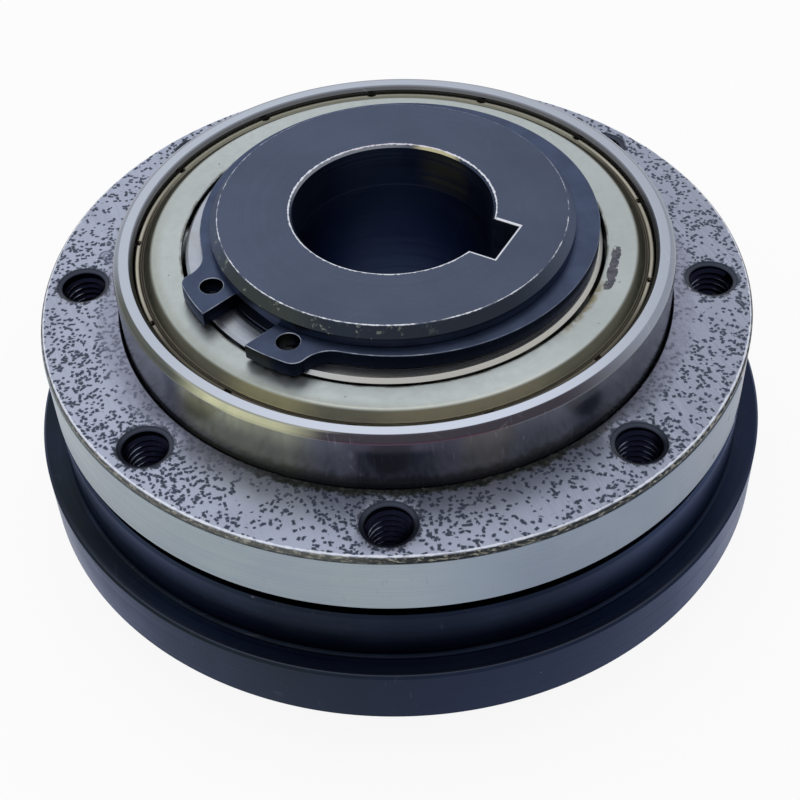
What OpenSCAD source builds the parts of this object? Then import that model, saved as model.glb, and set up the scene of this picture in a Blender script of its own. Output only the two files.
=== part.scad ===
// Ratchetting safety clutch with a ball detent, standing on the hub's lower end face.
// Z runs up the bore axis, and z = 0 is the hub's lower end.
// Torque goes from the keyed hub through eight balls into the output flange.
// Past the set torque the balls climb out of the flange's pockets and push the thrust cup down.

/* [Hub] */
// Diameter of the keyed bore
bore_d = 22; // [16:0.5:23]
// Width of the keyway
key_w = 6; // [4:0.5:8]
// Depth of the keyway, from the bore's wall
key_depth = 2.8; // [1.5:0.1:3]
// Height of the hub's nose above the bearing
nose_h = 4; // [3.5:0.1:8]
// Radial width of the bevel round the nose
nose_bevel_w = 0.9; // [0.3:0.1:1.2]
// Height of the bevel round the nose
nose_bevel_h = 1.1; // [0.3:0.1:1.2]
// Height of the shoulder that the bearing's inner ring sits on
shoulder_h = 2.5; // [1.5:0.1:2.7]
// Diameter of the guide that the thrust cup slides on
guide_d = 38; // [37:0.1:39]
// Outer diameter of the thread for the adjusting nut
thread_d = 36; // [34:0.5:36.4]
// Width of the undercut above the thread
undercut_w = 1; // [0.5:0.1:2]
// Depth of the undercut below the thread's outer diameter
undercut_depth = 1; // [0.5:0.1:1.2]

/* [Retaining ring] */
// Thickness of the retaining ring
ring_t = 1.75; // [1.2:0.05:2]
// Diameter of the groove in the hub
groove_d = 37.5; // [36.5:0.1:38.5]
// Mean width of the ring's beam, outwards from the groove
ring_beam_w = 3.2; // [2.6:0.1:3.8]
// How far the ring's outer circle lies off the axis, away from the gap
ring_offset = 1; // [0:0.1:1.2]
// Width of the gap between the lugs
ring_gap = 6.7; // [4:0.1:8]
// How far the lugs reach past the ring's outer edge
lug_reach = 2.35; // [1.8:0.05:3]
// Half the angle that the two lugs span together
lug_half_angle = 23.7; // [20:0.1:26]
// Diameter of the holes for the pliers
eye_d = 2.5; // [1.5:0.1:2.8]
// Distance from the lugs' outer edge to the middle of the holes
eye_inset = 2.75; // [2.4:0.05:3]
// Angle of each hole from the middle of the gap
eye_angle = 16.5; // [16:0.1:17]
// Rounding of the lugs' outer corners
lug_corner_r = 1.5; // [0.5:0.1:2]
// Fillet between a lug and the ring
lug_fillet_r = 3.4; // [1:0.1:4.5]

/* [Ball bearing] */
// Bore of the bearing
bearing_id = 40; // [39.5:0.1:40.5]
// Outer diameter of the bearing
bearing_od = 62; // [61.4:0.1:64]
// Width of the bearing
bearing_w = 12; // [11:0.5:14]
// Steel left in each ring behind its race
race_wall = 2.325; // [2.25:0.025:2.6]
// Depth of each race below its ring's shoulder
race_depth = 0.675; // [0.5:0.025:0.85]
// Number of the bearing's balls, one node each
race_ball_count = 15; // [10:1:16]
// Corner rounding of the outer ring
outer_corner_r = 0.8; // [0.3:0.1:1]
// Corner rounding of the inner ring's bore
inner_corner_r = 0.6; // [0.3:0.1:0.8]
// Thickness of the cage's pressed sheet
cage_sheet_t = 0.5; // [0.3:0.05:0.6]
// Thickness of the shield's pressed sheet
shield_t = 0.4; // [0.3:0.05:0.5]
// Number of notches round the shield's crimped edge
notch_count = 13; // [8:1:24]
// Width of each notch
notch_w = 1; // [0.5:0.1:2]

/* [Output flange] */
// Diameter of the output flange
flange_d = 80; // [78:0.5:84]
// Thickness of the output flange at its rim
flange_t = 7.9; // [7:0.1:10]
// Height by which the bearing stands out of the flange
bearing_proud = 6.9; // [5:0.1:7.4]
// Pitch circle diameter of the threaded holes
bolt_pcd = 71.4; // [70.6:0.1:72]
// Number of threaded holes
bolt_count = 8; // [4:1:12]
// Core diameter of the threaded holes
bolt_core_d = 4.2; // [3.3:0.1:4.2]
// Diameter of the countersinks of the threaded holes
bolt_sink_d = 5.9; // [5:0.1:6.2]
// Angle of the countersinks' cone
bolt_sink_angle = 120; // [90:5:120]
// Height of the boss round the ball pockets, below the rim
pocket_boss_h = 0.8; // [0.5:0.1:1]
// Width of the boss outside the pockets
pocket_land = 1.4; // [0.8:0.1:1.6]
// Depth of the recess that keeps the flange clear of the bearing's inner ring
web_recess = 0.5; // [0.3:0.1:0.8]

/* [Type tag] */
// Bare height of the flange's rim above the foil tag
tag_top = 0.85; // [0.5:0.05:3]
// Bare height of the flange's rim below the tag
tag_bottom = 0.15; // [0.15:0.05:2]
// Thickness of the foil
tag_t = 0.12; // [0.08:0.02:0.3]
// Angle that the tag covers
tag_angle = 180; // [90:1:300]

/* [Ball detent] */
// Number of drive balls, one node each
drive_ball_count = 8; // [4:1:12]
// Diameter of the drive balls
drive_ball_d = 8; // [7.4:0.1:8.2]
// Diameter of the circle that the drive balls lie on
drive_pcd = 55; // [54:0.5:56]
// Depth to which each ball reaches into its pockets, and so the cup's full stroke
ball_bite = 1.6; // [1:0.1:1.8]
// Angle of the pockets' walls from the axis
pocket_wall_angle = 55; // [50:1:60]
// Gap between the carrier disc and its neighbours
carrier_gap = 0.4; // [0.2:0.05:0.6]

/* [Thrust cup] */
// Diameter of the cup's upper wall
cup_d = 80; // [78:0.5:82]
// Thickness of the cup's upper wall
cup_wall_t = 3.5; // [2:0.1:3.6]
// Height of the upper wall above the cup's floor
cup_wall_h = 4.1; // [3:0.1:4.6]
// Thickness of the cup's floor
cup_floor_t = 4; // [3.4:0.1:6]
// Diameter of the lower rim
rim_d = 85.5; // [83:0.5:90]
// Height of the lower rim's ledge above the floor's underside
ledge_h = 1.6; // [1:0.1:3.5]
// Fillet where the upper wall meets the ledge
ledge_fillet_r = 0.4; // [0.2:0.1:0.8]
// Depth of the hollow under the floor
hollow_depth = 6; // [4:0.1:6]
// Diameter of the hollow
hollow_d = 68; // [64:0.5:72]

/* [Cup springs] */
// Outer diameter of a cup spring
spring_od = 60; // [56:0.5:62]
// Thickness of a cup spring
spring_t = 1.1; // [0.8:0.05:1.4]
// Height of a cup spring in place
spring_h = 2.8; // [2.4:0.1:3.4]

/* [Adjusting nut] */
// Outer diameter of the adjusting nut
nut_d = 60; // [52:0.5:64]
// Thickness of the adjusting nut
nut_t = 4.6; // [4.4:0.1:7]
// Height of the nut above the hub's lower end
nut_standoff = 1; // [0.4:0.1:3]
// Number of slots for the hook spanner
slot_count = 6; // [3:1:8]
// Width of a slot
slot_w = 6; // [4:0.5:8]
// Depth of a slot
slot_depth = 3; // [1.5:0.1:3.5]
// Travel that is left for the nut to screw up
nut_travel = 1; // [0.5:0.1:1]
// Thickness of the spring seat ring
seat_ring_t = 1.4; // [1:0.1:3]
// Diameter of the lock screw
lock_screw_d = 3; // [2:0.5:3]

/* [Angles as photographed] */
// Direction of the keyway
key_angle = -30; // [-180:0.5:180]
// Direction of the retaining ring's gap
ring_gap_angle = -137.4; // [-180:0.1:180]
// Direction of the first threaded hole
bolt_angle = -92.5; // [-180:0.5:180]
// Direction of the first drive ball, midway between two threaded holes
drive_angle = -70; // [-180:0.5:180]
// Direction of the first notch of the shield
notch_angle = 11; // [-180:0.5:180]
// Direction of the tag's right end
tag_start_angle = -24.5; // [-180:0.5:180]
// Direction of the lock screw, midway between two slots of the adjusting nut
lock_angle = 30; // [28:1:32]

/* [Fits] */
// Radial clearance of the cup and the seat ring on the hub's guide
slide_fit = 0.05; // [0.02:0.01:0.1]
// Radial clearance of the nut on its thread
thread_fit = 0.05; // [0.02:0.01:0.1]
// Clearance between the bearing's balls and what they roll on
roll_fit = 0.02; // [0.01:0.01:0.05]
// Clearance round a drive ball in the carrier
ball_fit = 0.05; // [0.02:0.01:0.1]
// Clearance of a drive ball in its pockets
pocket_fit = 0.02; // [0.01:0.01:0.05]
// Clearance of seats that don't move
seat_fit = 0.01; // [0.005:0.005:0.02]
// Gap between turning pieces that don't touch
running_gap = 0.5; // [0.3:0.05:0.5]

/* [Hidden] */
$fn = 96;
cut = 0.5;
small_chamfer = 0.3;
edge_chamfer = 0.5;

bore_r = bore_d / 2;
guide_r = guide_d / 2;
thread_r = thread_d / 2;
seat_r = bearing_id / 2 - seat_fit;
shoulder_r = bearing_id / 2 + shoulder_h;
carrier_r = cup_d / 2 - cup_wall_t - running_gap;
drive_r = drive_pcd / 2;
drive_ball_r = drive_ball_d / 2;
race_r = (bearing_id + bearing_od) / 4;
race_ball_r = (bearing_od - bearing_id) / 4 - race_wall;
land_gap = 2 * (race_ball_r - race_depth);
inner_land_r = race_r - land_gap / 2;
outer_land_r = race_r + land_gap / 2;

// Gaps and edges that a drawing leaves to the workshop
ring_slack = 0.04;
spring_touch = 0.02;
guide_start = 0.1;
land_chamfer = 0.4;
spring_bore_gap = 0.3;
seat_ring_margin = 0.5;
nut_relief_gap = 0.1;
nut_relief_extra = 0.2;

// The shield's crimped edge is a bead that lies in a step of the outer ring
bead_r = 0.4;
bead_depth = 0.85;
bead_at = outer_land_r + bead_r;
notch_floor = 0.07;
notch_cut = 2;
shield_gap = 0.4;
shield_flat_depth = 0.3;
shield_foot_depth = 1.1;
shield_foot_inset = 0.3;
shield_cone_w = 0.85;
shield_bend_shift = 0.1;
shield_lap = 0.2;
shield_seat_r = bead_at + bead_r + seat_fit;
shield_seat_depth = bead_depth + 2 * bead_r + seat_fit;
shield_seat_bevel_w = 0.4;
shield_seat_bevel_h = 0.5;

// The bearing's cage
cage_play = 0.06;
cage_web_share = 0.52;
rivet_d = 1.2;
rivet_l = 2;

// The retaining ring's outline, with its gap along +X
ring_r = groove_d / 2 + ring_beam_w;
ring_centre = [-ring_offset, 0];
lug_r = ring_r + lug_reach;
eye_r = lug_r - eye_inset;
lug_corner_angle = asin(lug_corner_r / (lug_r - lug_corner_r));
lug_corner_at = (lug_r - lug_corner_r)
    * [cos(lug_half_angle - lug_corner_angle), sin(lug_half_angle - lug_corner_angle)];
// The corner and the fillet touch, so the lug runs into the ring in one soft curve
corner_off = lug_corner_at - ring_centre;
fillet_off = ring_r + lug_fillet_r;
fillet_turn = atan2(corner_off[1], corner_off[0])
    + acos((corner_off * corner_off + pow(fillet_off, 2) - pow(lug_corner_r + lug_fillet_r, 2))
    / (2 * norm(corner_off) * fillet_off));
fillet_centre = ring_centre + fillet_off * [cos(fillet_turn), sin(fillet_turn)];

// The pockets' cone touches a ball whose centre lies ball_drop outside the pockets' mouth
ball_drop = drive_ball_r - ball_bite;
pocket_floor_gap = 0.2;
pocket_slope = tan(pocket_wall_angle);
pocket_apex = (drive_ball_r + pocket_fit) / sin(pocket_wall_angle) - ball_drop;
pocket_depth = ball_bite + pocket_floor_gap;
pocket_mouth_r = pocket_apex * pocket_slope;

// The lock screw
screw_sink = 0.5;
screw_tip_gap = 0.2;
screw_tip_d = lock_screw_d / 2;
screw_cone_h = 1.2;
socket_d = lock_screw_d / 2;
socket_depth = 1.8;

// Heights of the stack, from the hub's lower end up
z_nut = nut_standoff;
z_lock = z_nut + nut_t / 2;
z_seat_ring = z_nut + nut_t;
z_spring = z_seat_ring + seat_ring_t;
z_cup = z_spring + 2 * spring_h;
z_cup_face = z_cup + cup_floor_t;
z_drive = z_cup_face + drive_ball_r - ball_bite;
z_pocket_face = z_drive + drive_ball_r - ball_bite;
z_carrier = z_cup_face + carrier_gap;
z_carrier_top = z_pocket_face - carrier_gap;
z_flange = z_pocket_face + pocket_boss_h;
z_flange_top = z_flange + flange_t;
z_bearing_top = z_flange_top + bearing_proud;
z_bearing = z_bearing_top - bearing_w;
z_hub_top = z_bearing_top + nose_h;
z_race = z_bearing + bearing_w / 2;
z_bead = z_bearing_top - bead_depth - bead_r;
z_guide = z_seat_ring + guide_start;
z_rim = z_cup - hollow_depth;
z_ledge = z_cup + ledge_h;
z_cup_wall_top = z_cup_face + cup_wall_h;

black_oxide = "#343b48";
spring_black = "#2b3140";
bright_steel = "#c4c6cc";
shield_steel = "#aeb1ab";
ground_steel = "#a3a6b4";
foil = "#d6d8de";

// What is cut off a profile's corner at (x, z), where the material lies towards into
module chamfer_cut(x, z, into, w, h) {
    polygon([
        [x - into[0] * cut, z - into[1] * cut],
        [x + into[0] * (w + cut * w / h), z - into[1] * cut],
        [x - into[0] * cut, z + into[1] * (h + cut * h / w)]
    ]);
}

module round_cut(x, z, into, r) {
    difference() {
        polygon([
            [x - into[0] * cut, z - into[1] * cut],
            [x + into[0] * r, z - into[1] * cut],
            [x + into[0] * r, z + into[1] * r],
            [x - into[0] * cut, z + into[1] * r]
        ]);
        translate([x + into[0] * r, z + into[1] * r]) circle(r = r);
    }
}

// A rectangle of a turned profile, from radius r0 to r1 and height z0 to z1
module band(r0, r1, z0, z1) {
    translate([r0, z0]) square([r1 - r0, z1 - z0]);
}

module around(count, start) {
    for (i = [0:count - 1]) rotate(start + i * 360 / count) children();
}

module hub_profile() {
    difference() {
        union() {
            band(bore_r, thread_r, 0, z_guide);
            band(bore_r, guide_r, z_guide, z_carrier);
            band(bore_r, carrier_r, z_carrier, z_carrier_top);
            band(bore_r, shoulder_r, z_carrier_top, z_bearing);
            band(bore_r, seat_r, z_bearing, z_hub_top);
        }
        chamfer_cut(bore_r, 0, [1, 1], small_chamfer, small_chamfer);
        chamfer_cut(bore_r, z_hub_top, [1, -1], small_chamfer, small_chamfer);
        chamfer_cut(thread_r, 0, [-1, 1], edge_chamfer, edge_chamfer);
        chamfer_cut(carrier_r, z_carrier, [-1, 1], edge_chamfer, edge_chamfer);
        chamfer_cut(carrier_r, z_carrier_top, [-1, -1], edge_chamfer, edge_chamfer);
        chamfer_cut(seat_r, z_hub_top, [-1, -1], nose_bevel_w, nose_bevel_h);
        band(thread_r - undercut_depth, thread_r + cut, z_guide - undercut_w, z_guide);
        band(groove_d / 2, seat_r + cut, z_bearing_top, z_bearing_top + ring_t + 2 * ring_slack);
    }
}

module keyway() {
    rotate(key_angle) translate([0, -key_w / 2, -cut])
        cube([bore_r + key_depth, key_w, z_hub_top + 2 * cut]);
}

module hub() {
    color(black_oxide) difference() {
        rotate_extrude() hub_profile();
        keyway();
        around(drive_ball_count, drive_angle)
            translate([drive_r, 0, z_carrier - cut])
                cylinder(r = drive_ball_r + ball_fit, h = z_carrier_top - z_carrier + 2 * cut);
    }
}

function polar(r, a) = [r * cos(a), r * sin(a)];

module lug_outline() {
    intersection() {
        circle(r = lug_r);
        polygon([[0, 0], 2 * lug_r * [1, 0], 2 * polar(lug_r, lug_half_angle - lug_corner_angle)]);
    }
    translate(lug_corner_at) circle(r = lug_corner_r);
    difference() {
        polygon([[0, 0], lug_corner_at, fillet_centre, ring_centre]);
        translate(fillet_centre) circle(r = lug_fillet_r);
    }
}

module ring_outline() {
    difference() {
        union() {
            translate(ring_centre) circle(r = ring_r);
            lug_outline();
            mirror([0, 1]) lug_outline();
        }
        circle(r = groove_d / 2 + seat_fit);
        translate([0, -ring_gap / 2]) square([2 * lug_r, ring_gap]);
        for (side = [-1, 1]) translate(polar(eye_r, side * eye_angle)) circle(d = eye_d);
    }
}

module retaining_ring() {
    color(spring_black) rotate(ring_gap_angle)
        translate([0, 0, z_bearing_top + ring_slack]) linear_extrude(ring_t) ring_outline();
}

module race_cut() {
    translate([race_r, z_race]) circle(r = race_ball_r + roll_fit);
}

module bearing_inner_ring() {
    color(bright_steel) rotate_extrude() difference() {
        band(bearing_id / 2, inner_land_r, z_bearing, z_bearing_top);
        race_cut();
        round_cut(bearing_id / 2, z_bearing, [1, 1], inner_corner_r);
        round_cut(bearing_id / 2, z_bearing_top, [1, -1], inner_corner_r);
        chamfer_cut(inner_land_r, z_bearing, [-1, 1], land_chamfer, land_chamfer);
        chamfer_cut(inner_land_r, z_bearing_top, [-1, -1], land_chamfer, land_chamfer);
    }
}

module bearing_outer_ring() {
    color(bright_steel) rotate_extrude() difference() {
        band(outer_land_r, bearing_od / 2, z_bearing, z_bearing_top);
        race_cut();
        round_cut(bearing_od / 2, z_bearing, [-1, 1], outer_corner_r);
        round_cut(bearing_od / 2, z_bearing_top, [-1, -1], outer_corner_r);
        band(outer_land_r - cut, shield_seat_r, z_bearing_top - shield_seat_depth, z_bearing_top + cut);
        chamfer_cut(shield_seat_r, z_bearing_top, [1, -1], shield_seat_bevel_w, shield_seat_bevel_h);
        chamfer_cut(outer_land_r, z_bearing, [1, 1], land_chamfer, land_chamfer);
    }
}

// The shield is flat over the balls and dips in a cone to its crimped edge
module shield_profile() {
    flat_in = inner_land_r + shield_gap;
    foot = outer_land_r - shield_foot_inset;
    flat_out = foot - shield_cone_w;
    edge = bead_at - shield_lap;
    translate([0, z_bearing_top]) polygon([
        [flat_in, -shield_flat_depth],
        [flat_out, -shield_flat_depth],
        [foot, -shield_foot_depth],
        [edge, -shield_foot_depth],
        [edge, -shield_foot_depth - shield_t],
        [foot - shield_bend_shift, -shield_foot_depth - shield_t],
        [flat_out - shield_bend_shift, -shield_flat_depth - shield_t],
        [flat_in, -shield_flat_depth - shield_t]
    ]);
}

module bearing_shield() {
    edge_in = bead_at - shield_lap / 2;
    color(shield_steel) difference() {
        union() {
            rotate_extrude() shield_profile();
            rotate_extrude() translate([bead_at, z_bead]) circle(r = bead_r);
        }
        around(notch_count, notch_angle)
            translate([edge_in, -notch_w / 2, z_bead + notch_floor]) cube([notch_cut, notch_w, notch_cut]);
    }
}

// Two pressed waves of sheet wrap each ball, riveted flat to flat between the balls
module bearing_cage() {
    pocket_r = race_ball_r + cage_play;
    web_r0 = race_r - cage_web_share * land_gap / 2;
    web_r1 = race_r + cage_web_share * land_gap / 2;
    cage_r0 = inner_land_r + running_gap;
    cage_r1 = outer_land_r - running_gap;
    color(shield_steel) difference() {
        union() {
            rotate_extrude() band(web_r0, web_r1, z_race - cage_sheet_t, z_race + cage_sheet_t);
            intersection() {
                around(race_ball_count, 0) translate([race_r, 0, z_race])
                    sphere(r = pocket_r + cage_sheet_t);
                rotate_extrude() band(cage_r0, cage_r1, z_bearing, z_bearing_top);
            }
            around(race_ball_count, 180 / race_ball_count) translate([race_r, 0, z_race - rivet_l / 2])
                cylinder(d = rivet_d, h = rivet_l);
        }
        around(race_ball_count, 0) translate([race_r, 0, z_race]) sphere(r = pocket_r);
    }
}

module bearing_ball(i) {
    color(bright_steel) rotate((i - 1) * 360 / race_ball_count)
        translate([race_r, 0, z_race]) sphere(r = race_ball_r);
}

// A cone pocket that a drive ball touches, with a flat floor just beyond the ball.
// It opens towards -Z at height 0.
module pocket() {
    translate([0, 0, -cut])
        cylinder(
            r1 = (pocket_apex + cut) * pocket_slope,
            r2 = (pocket_apex - pocket_depth) * pocket_slope,
            h = pocket_depth + cut
        );
}

module flange_profile() {
    web_bore_r = shoulder_r + running_gap;
    boss_r = drive_r + pocket_mouth_r + pocket_land;
    difference() {
        union() {
            band(web_bore_r, flange_d / 2, z_flange, z_flange_top);
            band(web_bore_r, boss_r, z_pocket_face, z_flange);
        }
        band(0, bearing_od / 2 + seat_fit, z_bearing, z_flange_top + cut);
        band(0, outer_land_r + running_gap, z_bearing - web_recess, z_bearing + cut);
        chamfer_cut(bearing_od / 2 + seat_fit, z_flange_top, [1, -1], small_chamfer, small_chamfer);
        chamfer_cut(flange_d / 2, z_flange_top, [-1, -1], small_chamfer, small_chamfer);
        chamfer_cut(flange_d / 2, z_flange, [-1, 1], tag_bottom, tag_bottom);
        chamfer_cut(boss_r, z_pocket_face, [-1, 1], small_chamfer, small_chamfer);
    }
}

module bolt_hole() {
    slope = tan(bolt_sink_angle / 2);
    sink = (bolt_sink_d - bolt_core_d) / 2 / slope;
    translate([bolt_pcd / 2, 0, 0]) {
        translate([0, 0, z_flange - cut]) cylinder(d = bolt_core_d, h = flange_t + 2 * cut);
        translate([0, 0, z_flange_top - sink])
            cylinder(d1 = bolt_core_d, d2 = bolt_sink_d + 2 * cut * slope, h = sink + cut);
        translate([0, 0, z_flange - cut])
            cylinder(d1 = bolt_sink_d + 2 * cut * slope, d2 = bolt_core_d, h = sink + cut);
    }
}

module output_flange() {
    color(ground_steel) difference() {
        rotate_extrude() flange_profile();
        around(bolt_count, bolt_angle) bolt_hole();
        around(drive_ball_count, drive_angle)
            translate([drive_r, 0, z_pocket_face]) pocket();
    }
}

module type_tag() {
    color(foil) rotate(tag_start_angle - tag_angle)
        rotate_extrude(angle = tag_angle)
            band(flange_d / 2, flange_d / 2 + tag_t, z_flange + tag_bottom, z_flange_top - tag_top);
}

module drive_ball(i) {
    color(bright_steel) rotate(drive_angle + (i - 1) * 360 / drive_ball_count)
        translate([drive_r, 0, z_drive]) sphere(r = drive_ball_r);
}

module cup_profile() {
    cup_bore_r = guide_r + slide_fit;
    difference() {
        union() {
            band(cup_bore_r, cup_d / 2, z_cup, z_cup_face);
            band(cup_d / 2 - cup_wall_t, cup_d / 2, z_cup, z_cup_wall_top);
            band(hollow_d / 2, rim_d / 2, z_rim, z_ledge);
        }
        chamfer_cut(cup_d / 2, z_cup_wall_top, [-1, -1], small_chamfer, small_chamfer);
        chamfer_cut(cup_d / 2 - cup_wall_t, z_cup_wall_top, [1, -1], small_chamfer, small_chamfer);
        chamfer_cut(rim_d / 2, z_ledge, [-1, -1], small_chamfer, small_chamfer);
        chamfer_cut(rim_d / 2, z_rim, [-1, 1], edge_chamfer, edge_chamfer);
        chamfer_cut(hollow_d / 2, z_rim, [1, 1], edge_chamfer, edge_chamfer);
        chamfer_cut(cup_bore_r, z_cup, [1, 1], small_chamfer, small_chamfer);
        chamfer_cut(cup_bore_r, z_cup_face, [1, -1], small_chamfer, small_chamfer);
    }
    difference() {
        band(cup_d / 2, cup_d / 2 + ledge_fillet_r, z_ledge, z_ledge + ledge_fillet_r);
        translate([cup_d / 2 + ledge_fillet_r, z_ledge + ledge_fillet_r]) circle(r = ledge_fillet_r);
    }
}

module thrust_cup() {
    color(black_oxide) difference() {
        rotate_extrude() cup_profile();
        around(drive_ball_count, drive_angle)
            translate([drive_r, 0, z_cup_face]) mirror([0, 0, 1]) pocket();
    }
}

// A cup spring stands on its outer edge, and its inner edge is spring_h - spring_t higher
module cup_spring_profile() {
    r_in = guide_r + spring_bore_gap;
    r_out = spring_od / 2;
    rise = spring_h - spring_t - 2 * spring_touch;
    polygon([[r_out, 0], [r_out, spring_t], [r_in, spring_t + rise], [r_in, rise]]);
}

module cup_spring_lower() {
    color(spring_black) translate([0, 0, z_spring + spring_touch])
        rotate_extrude() cup_spring_profile();
}

module cup_spring_upper() {
    color(spring_black) translate([0, 0, z_cup - spring_touch]) mirror([0, 0, 1])
        rotate_extrude() cup_spring_profile();
}

module spring_seat_ring() {
    outer_r = spring_od / 2 + seat_ring_margin;
    color(black_oxide) rotate_extrude() difference() {
        band(guide_r + slide_fit, outer_r, z_seat_ring, z_spring);
        chamfer_cut(outer_r, z_spring, [-1, -1], small_chamfer, small_chamfer);
        chamfer_cut(guide_r + slide_fit, z_seat_ring, [1, 1], small_chamfer, small_chamfer);
    }
}

module nut_profile() {
    difference() {
        band(thread_r + thread_fit, nut_d / 2, z_nut, z_seat_ring);
        band(0, guide_r + nut_relief_gap, z_guide - nut_travel - nut_relief_extra, z_seat_ring + cut);
        chamfer_cut(nut_d / 2, z_nut, [-1, 1], edge_chamfer, edge_chamfer);
        chamfer_cut(nut_d / 2, z_seat_ring, [-1, -1], small_chamfer, small_chamfer);
        chamfer_cut(thread_r + thread_fit, z_nut, [1, 1], edge_chamfer, edge_chamfer);
    }
}

module adjusting_nut() {
    color(black_oxide) difference() {
        rotate_extrude() nut_profile();
        around(slot_count, 0)
            translate([nut_d / 2 - slot_depth, -slot_w / 2, z_nut - cut])
                cube([slot_depth + cut, slot_w, nut_t + 2 * cut]);
        rotate(lock_angle) translate([0, 0, z_lock]) rotate([0, 90, 0])
            cylinder(d = lock_screw_d + 2 * seat_fit, h = nut_d / 2 + cut);
    }
}

// A headless screw with a hexagon socket, sunk just below the nut's rim
module nut_lock_screw() {
    tip = thread_r + thread_fit + screw_tip_gap;
    shank = tip + screw_cone_h;
    head = nut_d / 2 - screw_sink;
    color(bright_steel) rotate(lock_angle) translate([0, 0, z_lock]) rotate([0, 90, 0])
        difference() {
            union() {
                translate([0, 0, tip]) cylinder(d1 = screw_tip_d, d2 = lock_screw_d, h = screw_cone_h);
                translate([0, 0, shank]) cylinder(d = lock_screw_d, h = head - shank);
            }
            translate([0, 0, head - socket_depth]) cylinder(d = socket_d, h = socket_depth + cut, $fn = 6);
        }
}

hub();
retaining_ring();
bearing_inner_ring();
bearing_outer_ring();
bearing_shield();
bearing_cage();
for (i = [1:race_ball_count])
    bearing_ball(i);
output_flange();
type_tag();
for (i = [1:drive_ball_count])
    drive_ball(i);
thrust_cup();
cup_spring_lower();
cup_spring_upper();
spring_seat_ring();
adjusting_nut();
nut_lock_screw();
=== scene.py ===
"""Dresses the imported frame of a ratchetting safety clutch: turned pieces, threads, finishes and stage.

Lengths in the tables of profiles are in millimetres, as on a drawing. Meshes are in metres.
"""

import math

import bmesh
import bpy
from mathutils import Matrix, Vector


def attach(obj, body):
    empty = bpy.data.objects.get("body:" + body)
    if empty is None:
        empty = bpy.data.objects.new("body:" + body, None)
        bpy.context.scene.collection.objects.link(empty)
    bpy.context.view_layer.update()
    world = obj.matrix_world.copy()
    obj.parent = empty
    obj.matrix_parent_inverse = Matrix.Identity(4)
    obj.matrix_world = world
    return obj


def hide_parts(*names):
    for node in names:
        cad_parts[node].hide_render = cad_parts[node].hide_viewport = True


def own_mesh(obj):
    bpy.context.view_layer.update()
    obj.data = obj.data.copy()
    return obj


bl_info = {
    "name": "Safety clutch",
    "version": (1, 0, 0),
    "blender": (4, 5, 0),
    "location": "3D View > Sidebar > Clutch",
    "description": "Builds the pieces, finishes and stage of a safety clutch around its packed frame",
    "category": "Object",
}

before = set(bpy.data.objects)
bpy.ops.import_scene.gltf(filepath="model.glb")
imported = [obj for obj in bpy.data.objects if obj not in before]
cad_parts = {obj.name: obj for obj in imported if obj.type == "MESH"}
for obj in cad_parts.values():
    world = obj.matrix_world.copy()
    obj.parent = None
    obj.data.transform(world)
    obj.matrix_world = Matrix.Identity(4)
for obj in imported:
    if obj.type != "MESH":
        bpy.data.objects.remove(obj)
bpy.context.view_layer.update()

MM = 0.001
TAU = 2 * math.pi
SHARP_ANGLE = 32

# Places that several pieces and finishes share, in millimetres and degrees
HUB_TOP, NOSE_RADIUS, MOUTH_RADIUS = 41.0, 19.09, 11.3
KEY_DIRECTION, KEY_END = -30, 13.8
HOLE_CIRCLE, FIRST_HOLE = 35.7, -92.5
BALL_CIRCLE, FIRST_BALL = 27.5, -70
POCKET_MOUTH, POCKET_FLOOR = 4.295, 1.0104
FIRST_NOTCH = 11
FLANGE_FACE = 30.1
TAG_OUTSIDE, TAG_LOW, TAG_TOP = 40.12, 22.35, 29.25


# Sizes, colours and stage settings

class ClutchSizes(bpy.types.PropertyGroup):
    segments: bpy.props.IntProperty(
        name="Segments", description="Faces round each turned piece", default=256, min=48, max=512)
    arc_steps: bpy.props.IntProperty(
        name="Arc steps", description="Faces across each rounded edge", default=4, min=1, max=12)
    edge_round: bpy.props.FloatProperty(
        name="Edge rounding", description="Rounding of a broken machined edge",
        default=0.12 * MM, unit="LENGTH", subtype="DISTANCE", precision=5)
    hole_pitch: bpy.props.FloatProperty(
        name="Hole thread pitch", description="Pitch of the threads in the flange's holes",
        default=0.8 * MM, unit="LENGTH", subtype="DISTANCE", precision=5)
    hub_pitch: bpy.props.FloatProperty(
        name="Hub thread pitch", description="Pitch of the hub's thread for the adjusting nut",
        default=1.5 * MM, unit="LENGTH", subtype="DISTANCE", precision=5)
    hole_count: bpy.props.IntProperty(
        name="Threaded holes", description="Number of threaded holes in the flange", default=8, min=1, max=24)
    ball_count: bpy.props.IntProperty(
        name="Drive balls", description="Number of drive balls and of their pockets",
        default=8, min=1, max=24)
    notch_count: bpy.props.IntProperty(
        name="Shield notches", description="Number of notches in the shield's crimped edge",
        default=13, min=1, max=40)
    slot_count: bpy.props.IntProperty(
        name="Spanner slots", description="Number of slots in the adjusting nut", default=6, min=1, max=12)


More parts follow.
